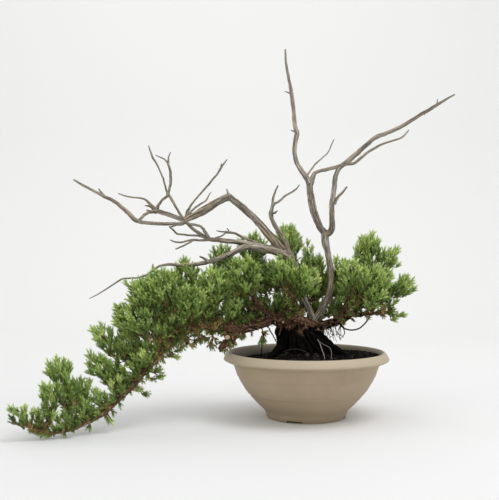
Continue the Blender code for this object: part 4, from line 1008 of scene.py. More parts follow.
# %% Routes of the living wood
LIVE_STEMS = {
    "trunk": [
        (-0.034, 0.000, 0.074, 0.019), (-0.034, 0.000, 0.128, 0.020), (-0.034, -0.001, 0.150, 0.0205),
        (-0.033, -0.003, 0.167, 0.020), (-0.028, -0.005, 0.178, 0.016)],
    "knot": [(-0.031, -0.006, 0.172, 0.015), (-0.017, -0.016, 0.174, 0.012), (0.000, -0.021, 0.172, 0.010)],
    "cascade": [
        (-0.029, -0.004, 0.171, 0.014), (-0.048, -0.008, 0.177, 0.0125), (-0.071, -0.015, 0.175, 0.0113),
        (-0.118, -0.031, 0.163, 0.0106), (-0.167, -0.052, 0.169, 0.0095), (-0.192, -0.064, 0.172, 0.009),
        (-0.215, -0.076, 0.168, 0.0084), (-0.235, -0.087, 0.155, 0.0076), (-0.251, -0.097, 0.135, 0.0068),
        (-0.286, -0.117, 0.088, 0.0056), (-0.325, -0.139, 0.048, 0.0043), (-0.344, -0.150, 0.032, 0.0036),
        (-0.364, -0.161, 0.022, 0.0031), (-0.383, -0.171, 0.014, 0.0027), (-0.403, -0.182, 0.010, 0.0023),
        (-0.423, -0.193, 0.012, 0.002), (-0.443, -0.204, 0.020, 0.0017), (-0.457, -0.212, 0.029, 0.0014)],
    "cut_stub": [
        (-0.114, -0.030, 0.163, 0.0095), (-0.133, -0.040, 0.149, 0.0088), (-0.147, -0.046, 0.135, 0.0066),
        (-0.154, -0.050, 0.126, 0.0045)],
    "left_riser": [
        (-0.042, -0.008, 0.178, 0.007), (-0.062, -0.020, 0.185, 0.0058), (-0.079, -0.027, 0.196, 0.005),
        (-0.091, -0.031, 0.209, 0.0044), (-0.101, -0.034, 0.230, 0.0032)],
    "middle_riser": [
        (-0.028, -0.002, 0.173, 0.009), (-0.032, 0.012, 0.203, 0.0056), (-0.034, 0.020, 0.232, 0.0040)],
    "front_riser": [
        (-0.019, -0.014, 0.174, 0.008), (-0.022, -0.027, 0.200, 0.0046), (-0.027, -0.034, 0.222, 0.0034)],
    "back_riser": [
        (-0.030, 0.002, 0.170, 0.008), (-0.012, 0.027, 0.188, 0.005), (0.012, 0.036, 0.210, 0.0038),
        (0.022, 0.034, 0.235, 0.0026)],
    "right_branch": [
        (-0.005, -0.020, 0.172, 0.010), (0.023, -0.025, 0.166, 0.0085), (0.050, -0.022, 0.173, 0.0075),
        (0.076, -0.015, 0.184, 0.0062), (0.098, -0.008, 0.200, 0.005), (0.108, -0.004, 0.226, 0.0038),
        (0.112, -0.002, 0.259, 0.0026)],
    "right_front": [
        (0.056, -0.021, 0.175, 0.0058), (0.066, -0.031, 0.198, 0.0043), (0.075, -0.037, 0.222, 0.003)],
    "front_root": [
        (-0.010, -0.021, 0.170, 0.010), (0.008, -0.026, 0.150, 0.008), (0.032, -0.028, 0.134, 0.0058),
        (0.060, -0.031, 0.119, 0.0042), (0.078, -0.034, 0.104, 0.003)],
    "left_root": [
        (-0.032, -0.008, 0.150, 0.012), (-0.046, -0.025, 0.130, 0.008), (-0.061, -0.041, 0.117, 0.0048),
        (-0.074, -0.054, 0.104, 0.003)],
    "middle_root": [
        (-0.020, -0.014, 0.160, 0.010), (-0.014, -0.032, 0.142, 0.0068), (-0.009, -0.048, 0.126, 0.0045),
        (-0.006, -0.060, 0.108, 0.003)],
    "back_root": [
        (-0.030, 0.006, 0.152, 0.013), (-0.040, 0.030, 0.134, 0.0075), (-0.048, 0.048, 0.116, 0.0045),
        (-0.052, 0.058, 0.102, 0.003)],
}
LIVE_TWIGS = {
    "pruned_knob": [(-0.140, -0.042, 0.147, 0.0054), (-0.142, -0.054, 0.150, 0.0052)],
    "right_low": [
        (0.078, -0.014, 0.185, 0.0048), (0.108, -0.015, 0.187, 0.0038), (0.145, -0.016, 0.189, 0.0022)],
    "right_outer": [
        (0.095, -0.009, 0.197, 0.0042), (0.120, -0.008, 0.214, 0.0032), (0.138, -0.007, 0.223, 0.0024)],
    "right_back": [
        (0.066, -0.018, 0.180, 0.0052), (0.078, 0.012, 0.198, 0.0042), (0.088, 0.034, 0.214, 0.003)],
    "bare_twig": [
        (0.060, -0.022, 0.171, 0.0022), (0.064, -0.024, 0.163, 0.0015), (0.080, -0.026, 0.159, 0.0014),
        (0.098, -0.025, 0.165, 0.0014), (0.110, -0.021, 0.178, 0.0014), (0.113, -0.016, 0.187, 0.0014)],
}
print("live stems:", len(LIVE_STEMS), "live twigs:", len(LIVE_TWIGS))

# %% Grow the living wood
def live_piece(name, routes, step, wander, seed, values):
    piece = grow_wood(name, routes, step, wander, seed, {"Surface": BARK, **values})
    hand_over(piece, "juniper_bark", "live_wood")


live_piece("live_stems", LIVE_STEMS.values(), 0.0020, 0.12, 201,
           {"Sides": 22, "Flute Depth": 1.3, "Crack Depth": 0.26, "Stretch": 26.0})
live_piece("live_twigs", LIVE_TWIGS.values(), 0.0022, 0.2, 231,
           {"Sides": 10, "Flute Depth": 0.9, "Crack Depth": 0.15, "Stretch": 40.0})

# %% Ragged flakes that lift off the bark
FLAKY_STEMS = ("knot", "cascade", "cut_stub", "left_riser", "middle_riser", "front_riser", "back_riser",
               "right_branch")
FLAKES = {
    "Spacing": 0.0040, "Number": 90000.0, "Size": 0.0013, "Length": 3.0, "Flatness": 0.45, "Steepest": -2.0,
    "Seed": 21, "Surface": bit_surface("lifted_bark", (0.030, 0.018, 0.012), (0.16, 0.092, 0.056),
                                       (0.48, 0.35, 0.23))}

ragged = grow_wood("ragged_bark", [LIVE_STEMS[name] for name in FLAKY_STEMS], 0.0050, 0.12, 201,
                   {"Sides": 9, "Flute Depth": 0.4, "Crack Depth": 0.1, "Stretch": 26.0})
bark_flakes = grown("bark_flakes", ragged.data.copy(), SCATTER_TREE, FLAKES)
bpy.data.objects.remove(ragged)
hand_over(bark_flakes, "juniper_bark", "live_wood")

# %% [markdown]
# The trunk's foot is a dense skirt of old roots, painted black as shade, that hides the foot of the
# dead tree as well. Each root runs from the trunk or the knot down to its own place in the soil. Hair
# roots hang under the right branch, and two dead sticks lean beside the skirt at its left.

# %% Skirt of roots
GOLDEN_TURN = 2.39996
ROOT_COUNT = 150
ROOT_HEAD = Vector((-0.032, -0.006))
ROOT_HEAD_HEIGHT = 0.172
SKIRT_MIDDLE = Vector((0.006, -0.008))
SKIRT_REACH = (0.060, 0.044)
ROOT_SWAY = 0.003


def root_skirt(dice):
    routes = []
    for number in range(ROOT_COUNT):
        turn = number * GOLDEN_TURN
        share = math.sqrt(dice.uniform(0.05, 1.0))
        foot = Vector((SKIRT_MIDDLE.x + SKIRT_REACH[0] * share * math.cos(turn),
                       SKIRT_MIDDLE.y + SKIRT_REACH[1] * share * math.sin(turn)))
        head = ROOT_HEAD.lerp(foot, 0.42 if foot.x > -0.03 else 0.75)
        rise = ROOT_HEAD_HEIGHT - 0.42 * max(0.0, head.x + 0.012) - dice.uniform(0.0, 0.010)
        ground = soil_height(foot.x, foot.y)
        girth = dice.uniform(0.0014, 0.0034)
        belly = head.lerp(foot, 0.55)
        routes.append([(*head, rise, girth * 1.5),
                       (belly.x + dice.gauss(0, ROOT_SWAY), belly.y + dice.gauss(0, ROOT_SWAY),
                        ground + (rise - ground) * 0.52, girth * 1.2),
                       (*foot, ground + 0.001, girth),
                       (foot.x + dice.gauss(0, ROOT_SWAY), foot.y + dice.gauss(0, ROOT_SWAY),
                        ground - 0.006, girth * 0.7)])
    return routes


root_dice = random.Random(77)
live_piece("root_skirt", root_skirt(root_dice), 0.0040, 0.5, 301,
           {"Sides": 7, "Flute Depth": 1.0, "Crack Depth": 0.1, "Stretch": 40.0})

# %% Hair roots and loose sticks
# Each is (how many, where the first and last start, where they end), as places in the picture
HAIR_BUNCHES = [
    (13, ((319, 326), (336, 326)), ((325, 341), (340, 343))),
    (7, ((339.5, 324), (343.5, 324)), ((339, 342), (344, 341)))]
LOOSE_STICKS = [
    [(269, 328, -20, 1.3), (273.5, 336.5, -22, 1.1), (279, 345, -24, 0.9)],
    [(264, 334, -28, 1.0), (262.7, 343, -28, 1.1), (261.8, 350, -28, 1.1), (261, 358, -27, 1.2)]]


def hair_roots(dice, count, heads, feet):
    """Fine roots that hang from one stretch of the picture down to another."""
    hairs = []
    for number in range(count):
        share = (number + dice.random()) / count
        (hu, hv), (fu, fv) = ((first[0] + (last[0] - first[0]) * share,
                               first[1] + (last[1] - first[1]) * share) for first, last in (heads, feet))
        depth = dice.uniform(-30, -10)
        sway = dice.gauss(0, 2.2)
        hairs.append([(hu, hv, depth, 0.7), ((hu + fu) / 2 + sway, (hv + fv) / 2, depth, 0.5),
                      (fu + dice.gauss(0, 1.8) - sway * 0.5, fv - dice.uniform(0.0, 8.0), depth, 0.4)])
    return hairs


hairs = [hair for bunch in HAIR_BUNCHES for hair in hair_roots(root_dice, *bunch)]
live_piece("hair_roots", in_metres(hairs + LOOSE_STICKS), 0.0030, 0.8, 401,
           {"Sides": 5, "Flute Depth": 0.2, "Crack Depth": 0.0, "Stretch": 60.0})

# %% [markdown]
# Three pale young roots lie on the skirt, the thinnest one greyer. Where branches were sawn off,
# the cut shows light wood with growth rings inside a dark edge of bark.

# %% Pale roots
PALE_ROOTS = {
    "front": [
        (317.5, 339.5, -42, 0.6), (320, 344, -50, 0.7), (322.6, 351, -60, 0.7), (324.5, 358, -68, 0.6),
        (325, 361, -70, 0.5)],
    "side": [
        (318, 341, -42, 0.4), (325, 345, -48, 0.45), (330, 348, -52, 0.45), (331.6, 354, -60, 0.45),
        (331.2, 361, -68, 0.4)],
    "loop": [
        (283, 352, -64, 0.2), (288, 350.0, -64, 0.25), (295, 348.8, -64, 0.25), (302, 350, -64, 0.2),
        (308, 353, -64, 0.2)],
}
THINNEST_PALE = 0.00033


def pale_root():
    made, tree, shader = new_material("pale_root", Roughness=0.7, Specular_IOR_Level=0.3)
    pale = ramp(grain_of(tree, 3.0, 0.8)[0], [(0.3, (0.17, 0.145, 0.12)), (0.7, (0.40, 0.36, 0.31))])
    thick = calc("GREATER_THAN", attribute(tree, "girth"), THINNEST_PALE)
    feed(shader, Base_Color=blend_colours(thick, (0.075, 0.072, 0.070), pale))
    return made


pale = grow_wood("pale_roots", in_metres(PALE_ROOTS.values()), 0.0025, 0.5, 451,
                 {"Sides": 8, "Flute Depth": 0.2, "Crack Depth": 0.0, "Stretch": 40.0,
                  "Surface": pale_root()})
hand_over(pale, "juniper_bark", "live_wood")

# %% Pruning cuts
# Each is (u, v, depth, radius), as the routes are
PRUNING_CUTS = [(227.5, 337.4, -58, 4.4), (283, 322.2, -27, 2.0)]
CUT_SIDES = 20


def cut_wood():
    """Pale wood with growth rings, each ring a little uneven."""
    made, tree, shader = new_material("cut_wood", Roughness=0.75, Specular_IOR_Level=0.25)
    across = attribute(tree, "across")
    ring = calc("FRACT", times(across, 4.0))
    colour = ramp(ring, [(0.0, (0.40, 0.29, 0.17)), (0.8, (0.62, 0.50, 0.34)), (1.0, (0.33, 0.22, 0.13))])
    feed(shader, Base_Color=blend_colours(calc("GREATER_THAN", across, 0.9), colour, (0.10, 0.06, 0.04)))
    return made


def pruning_cuts():
    bm = bmesh.new()
    across = bm.verts.layers.float.new("across")
    for u, v, depth, radius in PRUNING_CUTS:
        middle, radius = spot(u, v, depth), 0.001 * radius
        loops = []
        for reach, back in ((radius, 0.004), (radius, 0.0004), (radius * 0.92, 0.0), (radius * 0.5, 0.0)):
            loop = []
            for step in range(CUT_SIDES):
                angle = math.tau * step / CUT_SIDES
                wavy = reach * (1 + 0.06 * math.sin(2 * angle + 1) + 0.03 * math.sin(5 * angle))
                vert = bm.verts.new(middle + Vector((wavy * math.cos(angle), back, wavy * math.sin(angle))))
                vert[across] = reach / radius
                loop.append(vert)
            loops.append(loop)
        neighbours = [(step, (step + 1) % CUT_SIDES) for step in range(CUT_SIDES)]
        for outer, inner in zip(loops, loops[1:]):
            for step, after in neighbours:
                bm.faces.new((outer[step], outer[after], inner[after], inner[step]))
        bm.faces.new(loops[0])
        heart = bm.verts.new(middle)
        heart[across] = 0.0
        for step, after in neighbours:
            bm.faces.new((loops[-1][step], loops[-1][after], heart))
    return solid_object("pruning_cuts", bm)


cuts = pruning_cuts()
cuts.data.materials.append(cut_wood())
hand_over(cuts, "bleached_wood", "live_wood")

# %% [markdown]
# ## Sprays of needles
#
# A juniper's leaves are short, stiff needles in whorls of three. They clothe every young twig, so a
# twig looks like a soft green finger, and the fingers crowd together in sprays that all point up
# and out. Each spray is grown in two steps. First Python grows its twigs: points are spread evenly
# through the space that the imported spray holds, and each in turn is reached by a new twig from the
# nearest older one. Then Geometry Nodes set the whorls along every twig.

# %% Where the sprays are
# Each is (x, y, z, radius, the way it leans as x, y, z) in metres
SPRAYS = {
    "right": [
        (0.112, 0.002, 0.296, 0.026, 0.1, 0.0, 1.0), (0.151, -0.016, 0.288, 0.016, 0.4, -0.2, 1.0),
        (0.173, -0.004, 0.233, 0.021, 1.0, 0.0, 0.6), (0.080, -0.040, 0.254, 0.026, -0.3, -0.5, 1.0),
        (0.118, -0.052, 0.240, 0.030, 0.2, -0.8, 0.8), (0.094, 0.044, 0.242, 0.028, -0.1, 0.7, 0.9),
        (0.136, 0.046, 0.247, 0.024, 0.4, 0.7, 0.8), (0.158, -0.017, 0.185, 0.011, 1.0, -0.1, -0.1),
        (0.112, -0.038, 0.209, 0.015, 0.5, -0.8, 0.3)],
    "crown": [
        (-0.032, 0.020, 0.312, 0.025, -0.1, 0.3, 1.0), (0.003, 0.012, 0.297, 0.010, 0.0, 0.1, 1.0),
        (0.014, 0.024, 0.266, 0.022, 0.1, 0.4, 1.0), (-0.045, -0.044, 0.261, 0.025, -0.3, -0.6, 0.9),
        (-0.005, -0.046, 0.243, 0.026, 0.2, -0.8, 0.8), (0.040, 0.046, 0.236, 0.027, 0.4, 0.7, 0.8),
        (-0.022, 0.050, 0.252, 0.029, -0.2, 0.8, 0.8), (0.058, 0.030, 0.262, 0.018, 0.0, 0.0, 1.0)],
    "left": [
        (-0.112, -0.066, 0.254, 0.030, 0.1, -0.8, 0.8), (-0.162, -0.072, 0.236, 0.030, -0.1, -0.8, 0.8),
        (-0.098, 0.026, 0.303, 0.024, 0.0, 0.3, 1.0), (-0.150, 0.014, 0.278, 0.024, -0.1, 0.3, 1.0),
        (-0.076, 0.024, 0.249, 0.027, 0.0, 0.5, 0.9), (-0.133, 0.030, 0.228, 0.029, -0.1, 0.8, 0.7),
        (-0.182, 0.000, 0.214, 0.026, -0.2, 0.6, 0.8)],
    "shoulder": [
        (-0.214, -0.036, 0.258, 0.022, -0.1, 0.2, 1.0), (-0.246, -0.102, 0.236, 0.030, -0.2, -0.7, 0.9),
        (-0.203, -0.100, 0.212, 0.028, 0.1, -0.9, 0.6), (-0.284, -0.106, 0.222, 0.024, -0.6, -0.3, 0.9),
        (-0.298, -0.118, 0.184, 0.029, -1.0, -0.4, 0.5), (-0.272, -0.048, 0.220, 0.029, -0.3, 0.7, 0.9),
        (-0.228, -0.036, 0.202, 0.026, 0.0, 0.9, 0.6)],
    "cascade": [
        (-0.345, -0.132, 0.155, 0.019, -0.9, -0.1, 0.8), (-0.309, -0.104, 0.138, 0.025, -0.6, 0.5, 0.8),
        (-0.352, -0.146, 0.112, 0.019, -0.8, -0.2, 0.9), (-0.333, -0.108, 0.094, 0.018, -0.3, 0.8, 0.7),
        (-0.408, -0.172, 0.103, 0.021, -0.1, 0.0, 1.0), (-0.417, -0.196, 0.068, 0.018, -0.7, -0.5, 0.8),
        (-0.380, -0.150, 0.070, 0.019, 0.0, 0.6, 0.9), (-0.436, -0.198, 0.037, 0.011, -0.8, 0.1, 0.8),
        (-0.466, -0.215, 0.043, 0.013, -1.0, -0.2, 0.6)],
    "sprout": [(-0.078, -0.028, 0.148, 0.010, 0.0, -0.3, -1.0)],
}
print("sprays:", sum(len(group) for group in SPRAYS.values()))

# %% Bunches that a spray has besides
# Each is (u, v, depth, radius, the way it leans as x, y, z, how young it is): readings from the picture
TUFTS = {
    "cascade_1": [(132, 372, -128, 16, -0.3, -0.2, 0.8, -0.08), (154, 373, -96, 12, 0.8, 0.2, -0.4, -0.10)],
    "cascade_2": [(117, 387, -140, 15, -0.4, -0.2, 0.9, 0.0), (141, 392, -112, 9, 0.7, 0.1, -0.5, -0.10)],
    "cascade_3": [(99, 399, -150, 13, -0.4, 0.1, 0.9, 0.0), (111, 419, -146, 9, 0.5, 0.0, -0.8, 0.1)],
    "cascade_5": [(83, 408, -165, 14, -0.4, -0.1, 0.9, 0.0), (64, 397, -172, 13, -0.3, 0.0, 1.0, 0.0)],
    "cascade_6": [(65, 418, -178, 13, -0.4, 0.1, 0.9, 0.0), (50, 417, -192, 10, -0.3, 0.0, 1.0, 0.0)],
    "cascade_8": [(34, 416, -203, 8, -0.3, 0.0, 1.0, 0.0)],
    "cascade_9": [(24, 412, -207, 7, -0.3, 0.0, 1.0, 0.05)],
    "shoulder_2": [(160, 332, -97, 16, -0.4, 0.1, 0.9, -0.05), (180, 330, -85, 11, 0.1, -0.5, 0.3, -0.52)],
    "shoulder_3": [
        (176, 320, -85, 16, -0.3, -0.2, 0.9, 0.08), (198, 327, -75, 11, 0.0, -0.6, 0.2, -0.52),
        (186, 341, -72, 12, 0.4, -0.1, -0.7, -0.42), (174, 354, -82, 10, 0.8, 0.2, -0.4, -0.05)],
    "shoulder_4": [(148, 347, -106, 16, -0.5, -0.2, 0.8, 0.0), (131, 287, -106, 8, -0.8, 0.0, 0.7, 0.15)],
    "shoulder_5": [(142, 361, -118, 16, -0.5, 0.1, 0.8, 0.0)],
    "left_1": [
        (235, 303, -50, 17, 0.0, -0.7, 0.5, 0.14), (248, 295, -48, 11, 0.1, -0.7, 0.6, 0.05),
        (232, 312, -50, 12, -0.1, -0.6, 0.7, 0.04), (216, 322, -62, 11, 0.0, -0.5, 0.5, -0.48)],
    "left_2": [
        (192, 313, -72, 17, -0.2, 0.1, 1.0, 0.0), (208, 311, -60, 15, 0.0, -0.3, 1.0, 0.08),
        (199, 338, -62, 12, 0.1, -0.1, -0.9, -0.42), (212, 341, -50, 12, -0.2, 0.0, -0.9, -0.42)],
    # The left_5 bunches are painted darker, as shade above the main branch
    "left_5": [
        (222, 314, -30, 15, 0.0, 0.1, 1.0, -0.18), (236, 316, -5, 14, 0.0, 0.3, 0.9, -0.14),
        (246, 308, 30, 18, 0.0, 0.6, 0.6, -0.18), (230, 310, 30, 18, 0.0, 0.6, 0.6, -0.18)],
    "crown_4": [(278, 301, -24, 12, -0.2, -0.6, 0.5, -0.12)],
    "crown_7": [
        (252, 303, 10, 16, 0.0, 0.4, 1.0, 0.0), (266, 306, 22, 16, 0.0, 0.4, 0.9, 0.0),
        (282, 302, 35, 16, 0.0, 0.3, 1.0, 0.0), (262, 313, 45, 15, 0.0, 0.5, 0.4, -0.14),
        (276, 312, 40, 14, 0.0, 0.5, 0.4, -0.14), (290, 311, 48, 14, 0.0, 0.5, 0.5, -0.14)],
    "crown_6": [
        (300, 303, 42, 16, 0.1, 0.3, 1.0, 0.0), (318, 306, 42, 16, 0.2, 0.3, 0.9, 0.0),
        (304, 314, 52, 13, 0.1, 0.5, 0.3, -0.14), (322, 315, 50, 12, 0.1, 0.5, 0.3, -0.14),
        (316, 292, 36, 15, 0.0, 0.3, 0.9, -0.08)],
    "crown_1": [(289, 232, 22, 12, 0.0, 0.1, 1.0, 0.05)],
    "crown_2": [(307, 243, 12, 4, 0.0, 0.0, 1.0, 0.05)],
    "right_1": [(370, 243, 2, 13, 0.1, 0.0, 1.0, 0.1)],
    "right_2": [(396, 262, -10, 8, 0.5, 0.0, 0.8, 0.1)],
    "right_3": [(405, 281, -4, 9, 0.4, 0.0, 0.9, 0.12)],
    "right_6": [
        (335, 303, 38, 17, 0.3, 0.3, 0.9, 0.0), (326, 312, 20, 12, 0.1, 0.2, 1.0, -0.1),
        (341, 291, 34, 17, 0.1, 0.3, 0.9, -0.05), (338, 313, 30, 12, 0.2, 0.4, 0.3, -0.16)],
    "right_4": [
        (345, 300, 4, 15, 0.2, -0.3, 0.9, 0.0), (356, 303, -8, 13, 0.4, -0.3, 0.7, -0.1),
        (347, 286, -20, 15, 0.0, -0.3, 0.9, 0.05)],
    "right_9": [
        (368, 305, -18, 11, 0.5, -0.4, 0.3, -0.60), (381, 307, -24, 9, 0.4, -0.3, 0.7, -0.56),
        (356, 306, -22, 10, 0.2, -0.4, 0.8, -0.54), (390, 303, -14, 10, 0.5, -0.2, 0.8, 0.0),
        (377, 298, -22, 10, 0.3, -0.3, 0.8, -0.05)],
}
print("bunches:", sum(len(rows) for rows in TUFTS.values()))

# %% Stems that are clothed with short shoots
# Each is (stem, from x, to x, gap, the way they lean as x, y, z, length, how young they are)
CLOTHED = [
    ("cascade", -0.322, -0.458, 0.0036, (-0.5, 0.1, 0.9), 0.0125, 0.46),
    ("cascade", -0.396, -0.446, 0.0028, (-0.3, -0.2, -0.9), 0.0056, 0.18),
    ("cascade", -0.225, -0.335, 0.0042, (-0.8, -0.1, 0.6), 0.0140, 0.34),
    ("cascade", -0.262, -0.400, 0.0120, (0.7, 0.2, -0.5), 0.0110, 0.34),
    ("cascade", -0.215, -0.262, 0.0036, (0.9, 0.1, -0.3), 0.0135, 0.08),
    ("cascade", -0.205, -0.262, 0.0036, (0.4, -0.8, 0.3), 0.0105, -0.02),
    ("cascade", -0.228, -0.275, 0.0044, (-0.3, -0.8, 0.6), 0.0120, 0.46),
    ("cascade", -0.060, -0.225, 0.0046, (0.0, 0.1, 0.9), 0.0105, 0.12),
    ("cascade", -0.100, -0.230, 0.0044, (0.1, 0.1, -0.9), 0.0090, 0.02),
    ("cascade", -0.150, -0.215, 0.0060, (0.0, -1.0, -0.1), 0.0090, 0.04),
    ("cut_stub", -0.114, -0.154, 0.0030, (0.0, -0.2, -0.5), 0.0080, 0.02),
    ("left_riser", -0.075, -0.101, 0.0045, (-0.1, 0.5, 0.5), 0.0100, 0.16),
    ("middle_riser", -0.040, -0.028, 0.0040, (0.0, -0.3, 0.3), 0.0110, 0.20),
    ("front_riser", -0.030, -0.018, 0.0035, (0.0, -0.5, 0.2), 0.0110, 0.14),
    ("back_riser", -0.030, 0.024, 0.0050, (0.2, 0.3, 0.3), 0.0110, 0.22),
    ("right_branch", 0.052, 0.098, 0.0050, (0.3, 0.0, 0.2), 0.0085, 0.03),
    ("right_branch", 0.085, 0.112, 0.0050, (0.2, -0.2, 0.6), 0.0110, 0.26),
    ("right_low", 0.078, 0.145, 0.0045, (0.5, -0.2, 0.4), 0.0100, 0.08),
    ("right_front", 0.056, 0.075, 0.0060, (0.1, -0.6, 0.5), 0.0100, 0.22),
]
print("clothed stretches:", len(CLOTHED))

# %% Where a spray may start
BARE_STEMS = ("trunk", "knot", "cut_stub", "pruned_knob", "bare_twig", "front_root", "left_root",
              "middle_root", "back_root")


def growing_spots():
    """Places down the living wood where a spray may start."""
    found = []
    for name, route in {**LIVE_STEMS, **LIVE_TWIGS}.items():
        if name not in BARE_STEMS:
            for start, end in zip(route, route[1:]):
                found.extend(Vector(start[:3]).lerp(Vector(end[:3]), share)
                             for share in (0.0, 0.25, 0.5, 0.75, 1.0))
    return found


SPOTS = growing_spots()
print("places to start from:", len(SPOTS))

# %% Spread the aims and bend the twigs
SHOOT_SPACING = 0.0128
SHOOT_LENGTH = 0.0195
ENVELOPE = 0.90
UPWARD = Vector((0.0, 0.0, 1.0))
LOWEST_TWIG = 0.0050
ATTEMPTS = 2600
SHARE_AT_END = 0.72


def curve_points(start, bend, end, count):
    return [start * (1 - t) ** 2 + bend * 2 * t * (1 - t) + end * t * t
            for t in (part / count for part in range(count + 1))]


def any_way(dice):
    return Vector([dice.gauss(0.0, 1.0) for axis in range(3)]).normalized()


def spread_aims(spine, centre, radius, lean, dice):
    """Places spread evenly through the space that the spray fills, from its foot outwards."""
    aims = []
    for attempt in range(ATTEMPTS):
        if dice.random() < SHARE_AT_END:
            way = any_way(dice)
            aim = centre + (way + lean * 0.18 * way.dot(lean)) * radius * ENVELOPE * dice.random() ** 0.3
        else:
            share = dice.uniform(0.12, 0.7)
            place = spine[round(share * (len(spine) - 1))]
            aim = place + any_way(dice) * radius * (0.30 + 0.65 * share) * dice.random() ** 0.3
        if aim.z > LOWEST_TWIG and all((aim - other).length > SHOOT_SPACING for other in aims):
            aims.append(aim)
    return aims


# %% A leafy shoot
LEADER_GIRTHS = (0.0008, 0.0006, 0.0004)


def leafy_shoot(base, way, length, sides, vigour_and_shading, hue, dice):
    """A leader with side shoots round it, as lines of (x, y, z, girth, leafy, vigour, hue)."""
    lift = UPWARD * 0.16 * length
    leader = [base, base + way * length * 0.5, base + way * length + lift * 0.3]
    lines = [[(*place, girth, 1.0, vigour_and_shading - 0.08 + 0.16 * index, hue)
              for index, (place, girth) in enumerate(zip(leader, LEADER_GIRTHS))]]
    across = way.orthogonal().normalized()
    turn = dice.uniform(0.0, math.tau)
    for side in range(sides):
        share = side / sides
        turn += GOLDEN_TURN
        out = Matrix.Rotation(turn, 3, way) @ across
        heading = (way + out * dice.uniform(0.75, 1.15) + UPWARD * 0.10).normalized()
        start = base + way * length * (0.06 + 0.55 * share)
        reach = length * (0.68 - 0.28 * share) * dice.uniform(0.8, 1.2)
        end = start + (heading + way * 0.3).normalized() * reach
        lines.append([(*start, 0.0006, 1.0, vigour_and_shading - 0.08, hue), (*end, 0.0004, 1.0, vigour_and_shading + 0.24, hue)])
    return lines


# %% Grow a spray's twigs
SPINE_PARTS = 14
TWIG_PART = 0.006
TWIG_GIRTH = 0.0009


def nearest_bud(buds, base):
    """The bud that a twig to this base costs least from: near, and already heading there."""
    def cost(bud):
        reach = base - bud[0]
        return reach.length * (1.7 - reach.normalized().dot(bud[1]))
    return min(buds, key=cost)


def buds_along(places):
    return [(place, (after - place).normalized()) for place, after in zip(places[1:], places[2:])]


def grow_twigs(spec, dice, youth=0.0):
    """The spray's lines of (x, y, z, girth, leafy, vigour, hue), spine first."""
    centre, radius, lean = Vector(spec[:3]), spec[3], Vector(spec[4:7]).normalized()
    foot = min(SPOTS, key=lambda place: (place - centre).length + 0.6 * max(0.0, (place - centre).dot(lean)))
    spine = curve_points(foot, centre - lean * 0.35 * (centre - foot).length, centre + lean * radius * 0.6,
                         SPINE_PARTS)
    outward = (centre - foot).normalized()
    reach_all = (centre - foot).length + radius
    buds = buds_along(spine)
    lines = [[(*place, 0.0017 - 0.0010 * index / SPINE_PARTS, 0.0, 0.2, 0.5)
              for index, place in enumerate(spine)]]
    aims = spread_aims(spine, centre, radius, lean, dice)
    for aim in sorted(aims, key=lambda place: (place - foot).length):
        away = (aim - centre) / radius
        way = (outward * 0.40 + away * 0.34 + lean * 0.35 + UPWARD * 0.45 + any_way(dice) * 0.14).normalized()
        length = min(SHOOT_LENGTH, 0.009 + radius * 0.45) * dice.uniform(0.8, 1.2)
        base = aim - way * length * 0.5
        start, heading = nearest_bud(buds, base)
        reach = (base - start).length
        bend = start + (heading + (base - start).normalized()).normalized() * reach * 0.5
        twig = curve_points(start, bend, base, max(2, round(reach / TWIG_PART)))
        far = min(1.0, (aim - foot).length / reach_all)
        rise = max(-1.0, min(1.0, away.dot(UPWARD)))
        # Inner needles are older and partly painted darker as shade; rise paints the upper side lighter, as
        # light falls on it
        vigour_and_shading = 0.15 + 0.46 * far + 0.11 * rise + youth + dice.gauss(0.0, 0.04)
        hue = dice.random()
        lines.append([(*place, TWIG_GIRTH, 0.0, vigour_and_shading, hue) for place in twig])
        lines.extend(leafy_shoot(base, way, length, 5 if away.length > 0.5 else 3, vigour_and_shading, hue, dice))
        buds.extend(buds_along(twig))
        buds.append((base, way))
    return lines


# %% Clothe the stems
def clothe_stems(dice):
    """Short leafy shoots straight from the stems, each with the name of the spray that it joins."""
    centres = {f"{region}_{number}": Vector(spec[:3])
               for region, group in SPRAYS.items() for number, spec in enumerate(group, 1)}
    joined = {name: [] for name in centres}
    routes = {**LIVE_STEMS, **LIVE_TWIGS}
    for stem, first, last, gap, lean, length, youth in CLOTHED:
        line = smooth_line(routes[stem], gap / 3)
        since = 0.0
        for before, point in zip(line, line[1:]):
            since += (point.xyz - before.xyz).length
            if since < gap or not min(first, last) <= point.x <= max(first, last):
                continue
            since = 0.0
            along = (point.xyz - before.xyz).normalized()
            out = (Vector(lean) + any_way(dice) * 0.8)
            out = (out - along * out.dot(along)).normalized()
            way = (out + along * 0.5 + any_way(dice) * 0.2).normalized()
            base = point.xyz + out * point.w * 0.8
            if base.z + way.z * length < LOWEST_TWIG:
                continue
            vigour_and_shading = youth + dice.gauss(0.0, 0.05)
            name = min(centres, key=lambda label: (centres[label] - base).length)
            joined[name].extend(leafy_shoot(base, way, length * dice.uniform(0.7, 1.25), 2, vigour_and_shading,
                                            dice.random(), dice))
    return joined


joined = clothe_stems(random.Random(5))
print("lines of shoots on the stems:", sum(len(lines) for lines in joined.values()))

# %% [markdown]
# One tree dresses every twig. A needle is a cone with three sides. Three of them, opened out from
# the stem, make a whorl. Whorls are set a fixed gap apart along the twig, each turned by a sixth of
# a turn against the last and closing up towards the tip, where the youngest needles still hug it.

# %% Geometry Nodes: one whorl of needles
STEM_RING = 0.0003


def about_z(tree, angle):
    return add(tree, "FunctionNodeAxisAngleToRotation", {"Axis": (0.0, 0.0, 1.0), "Angle": angle}).outputs[0]


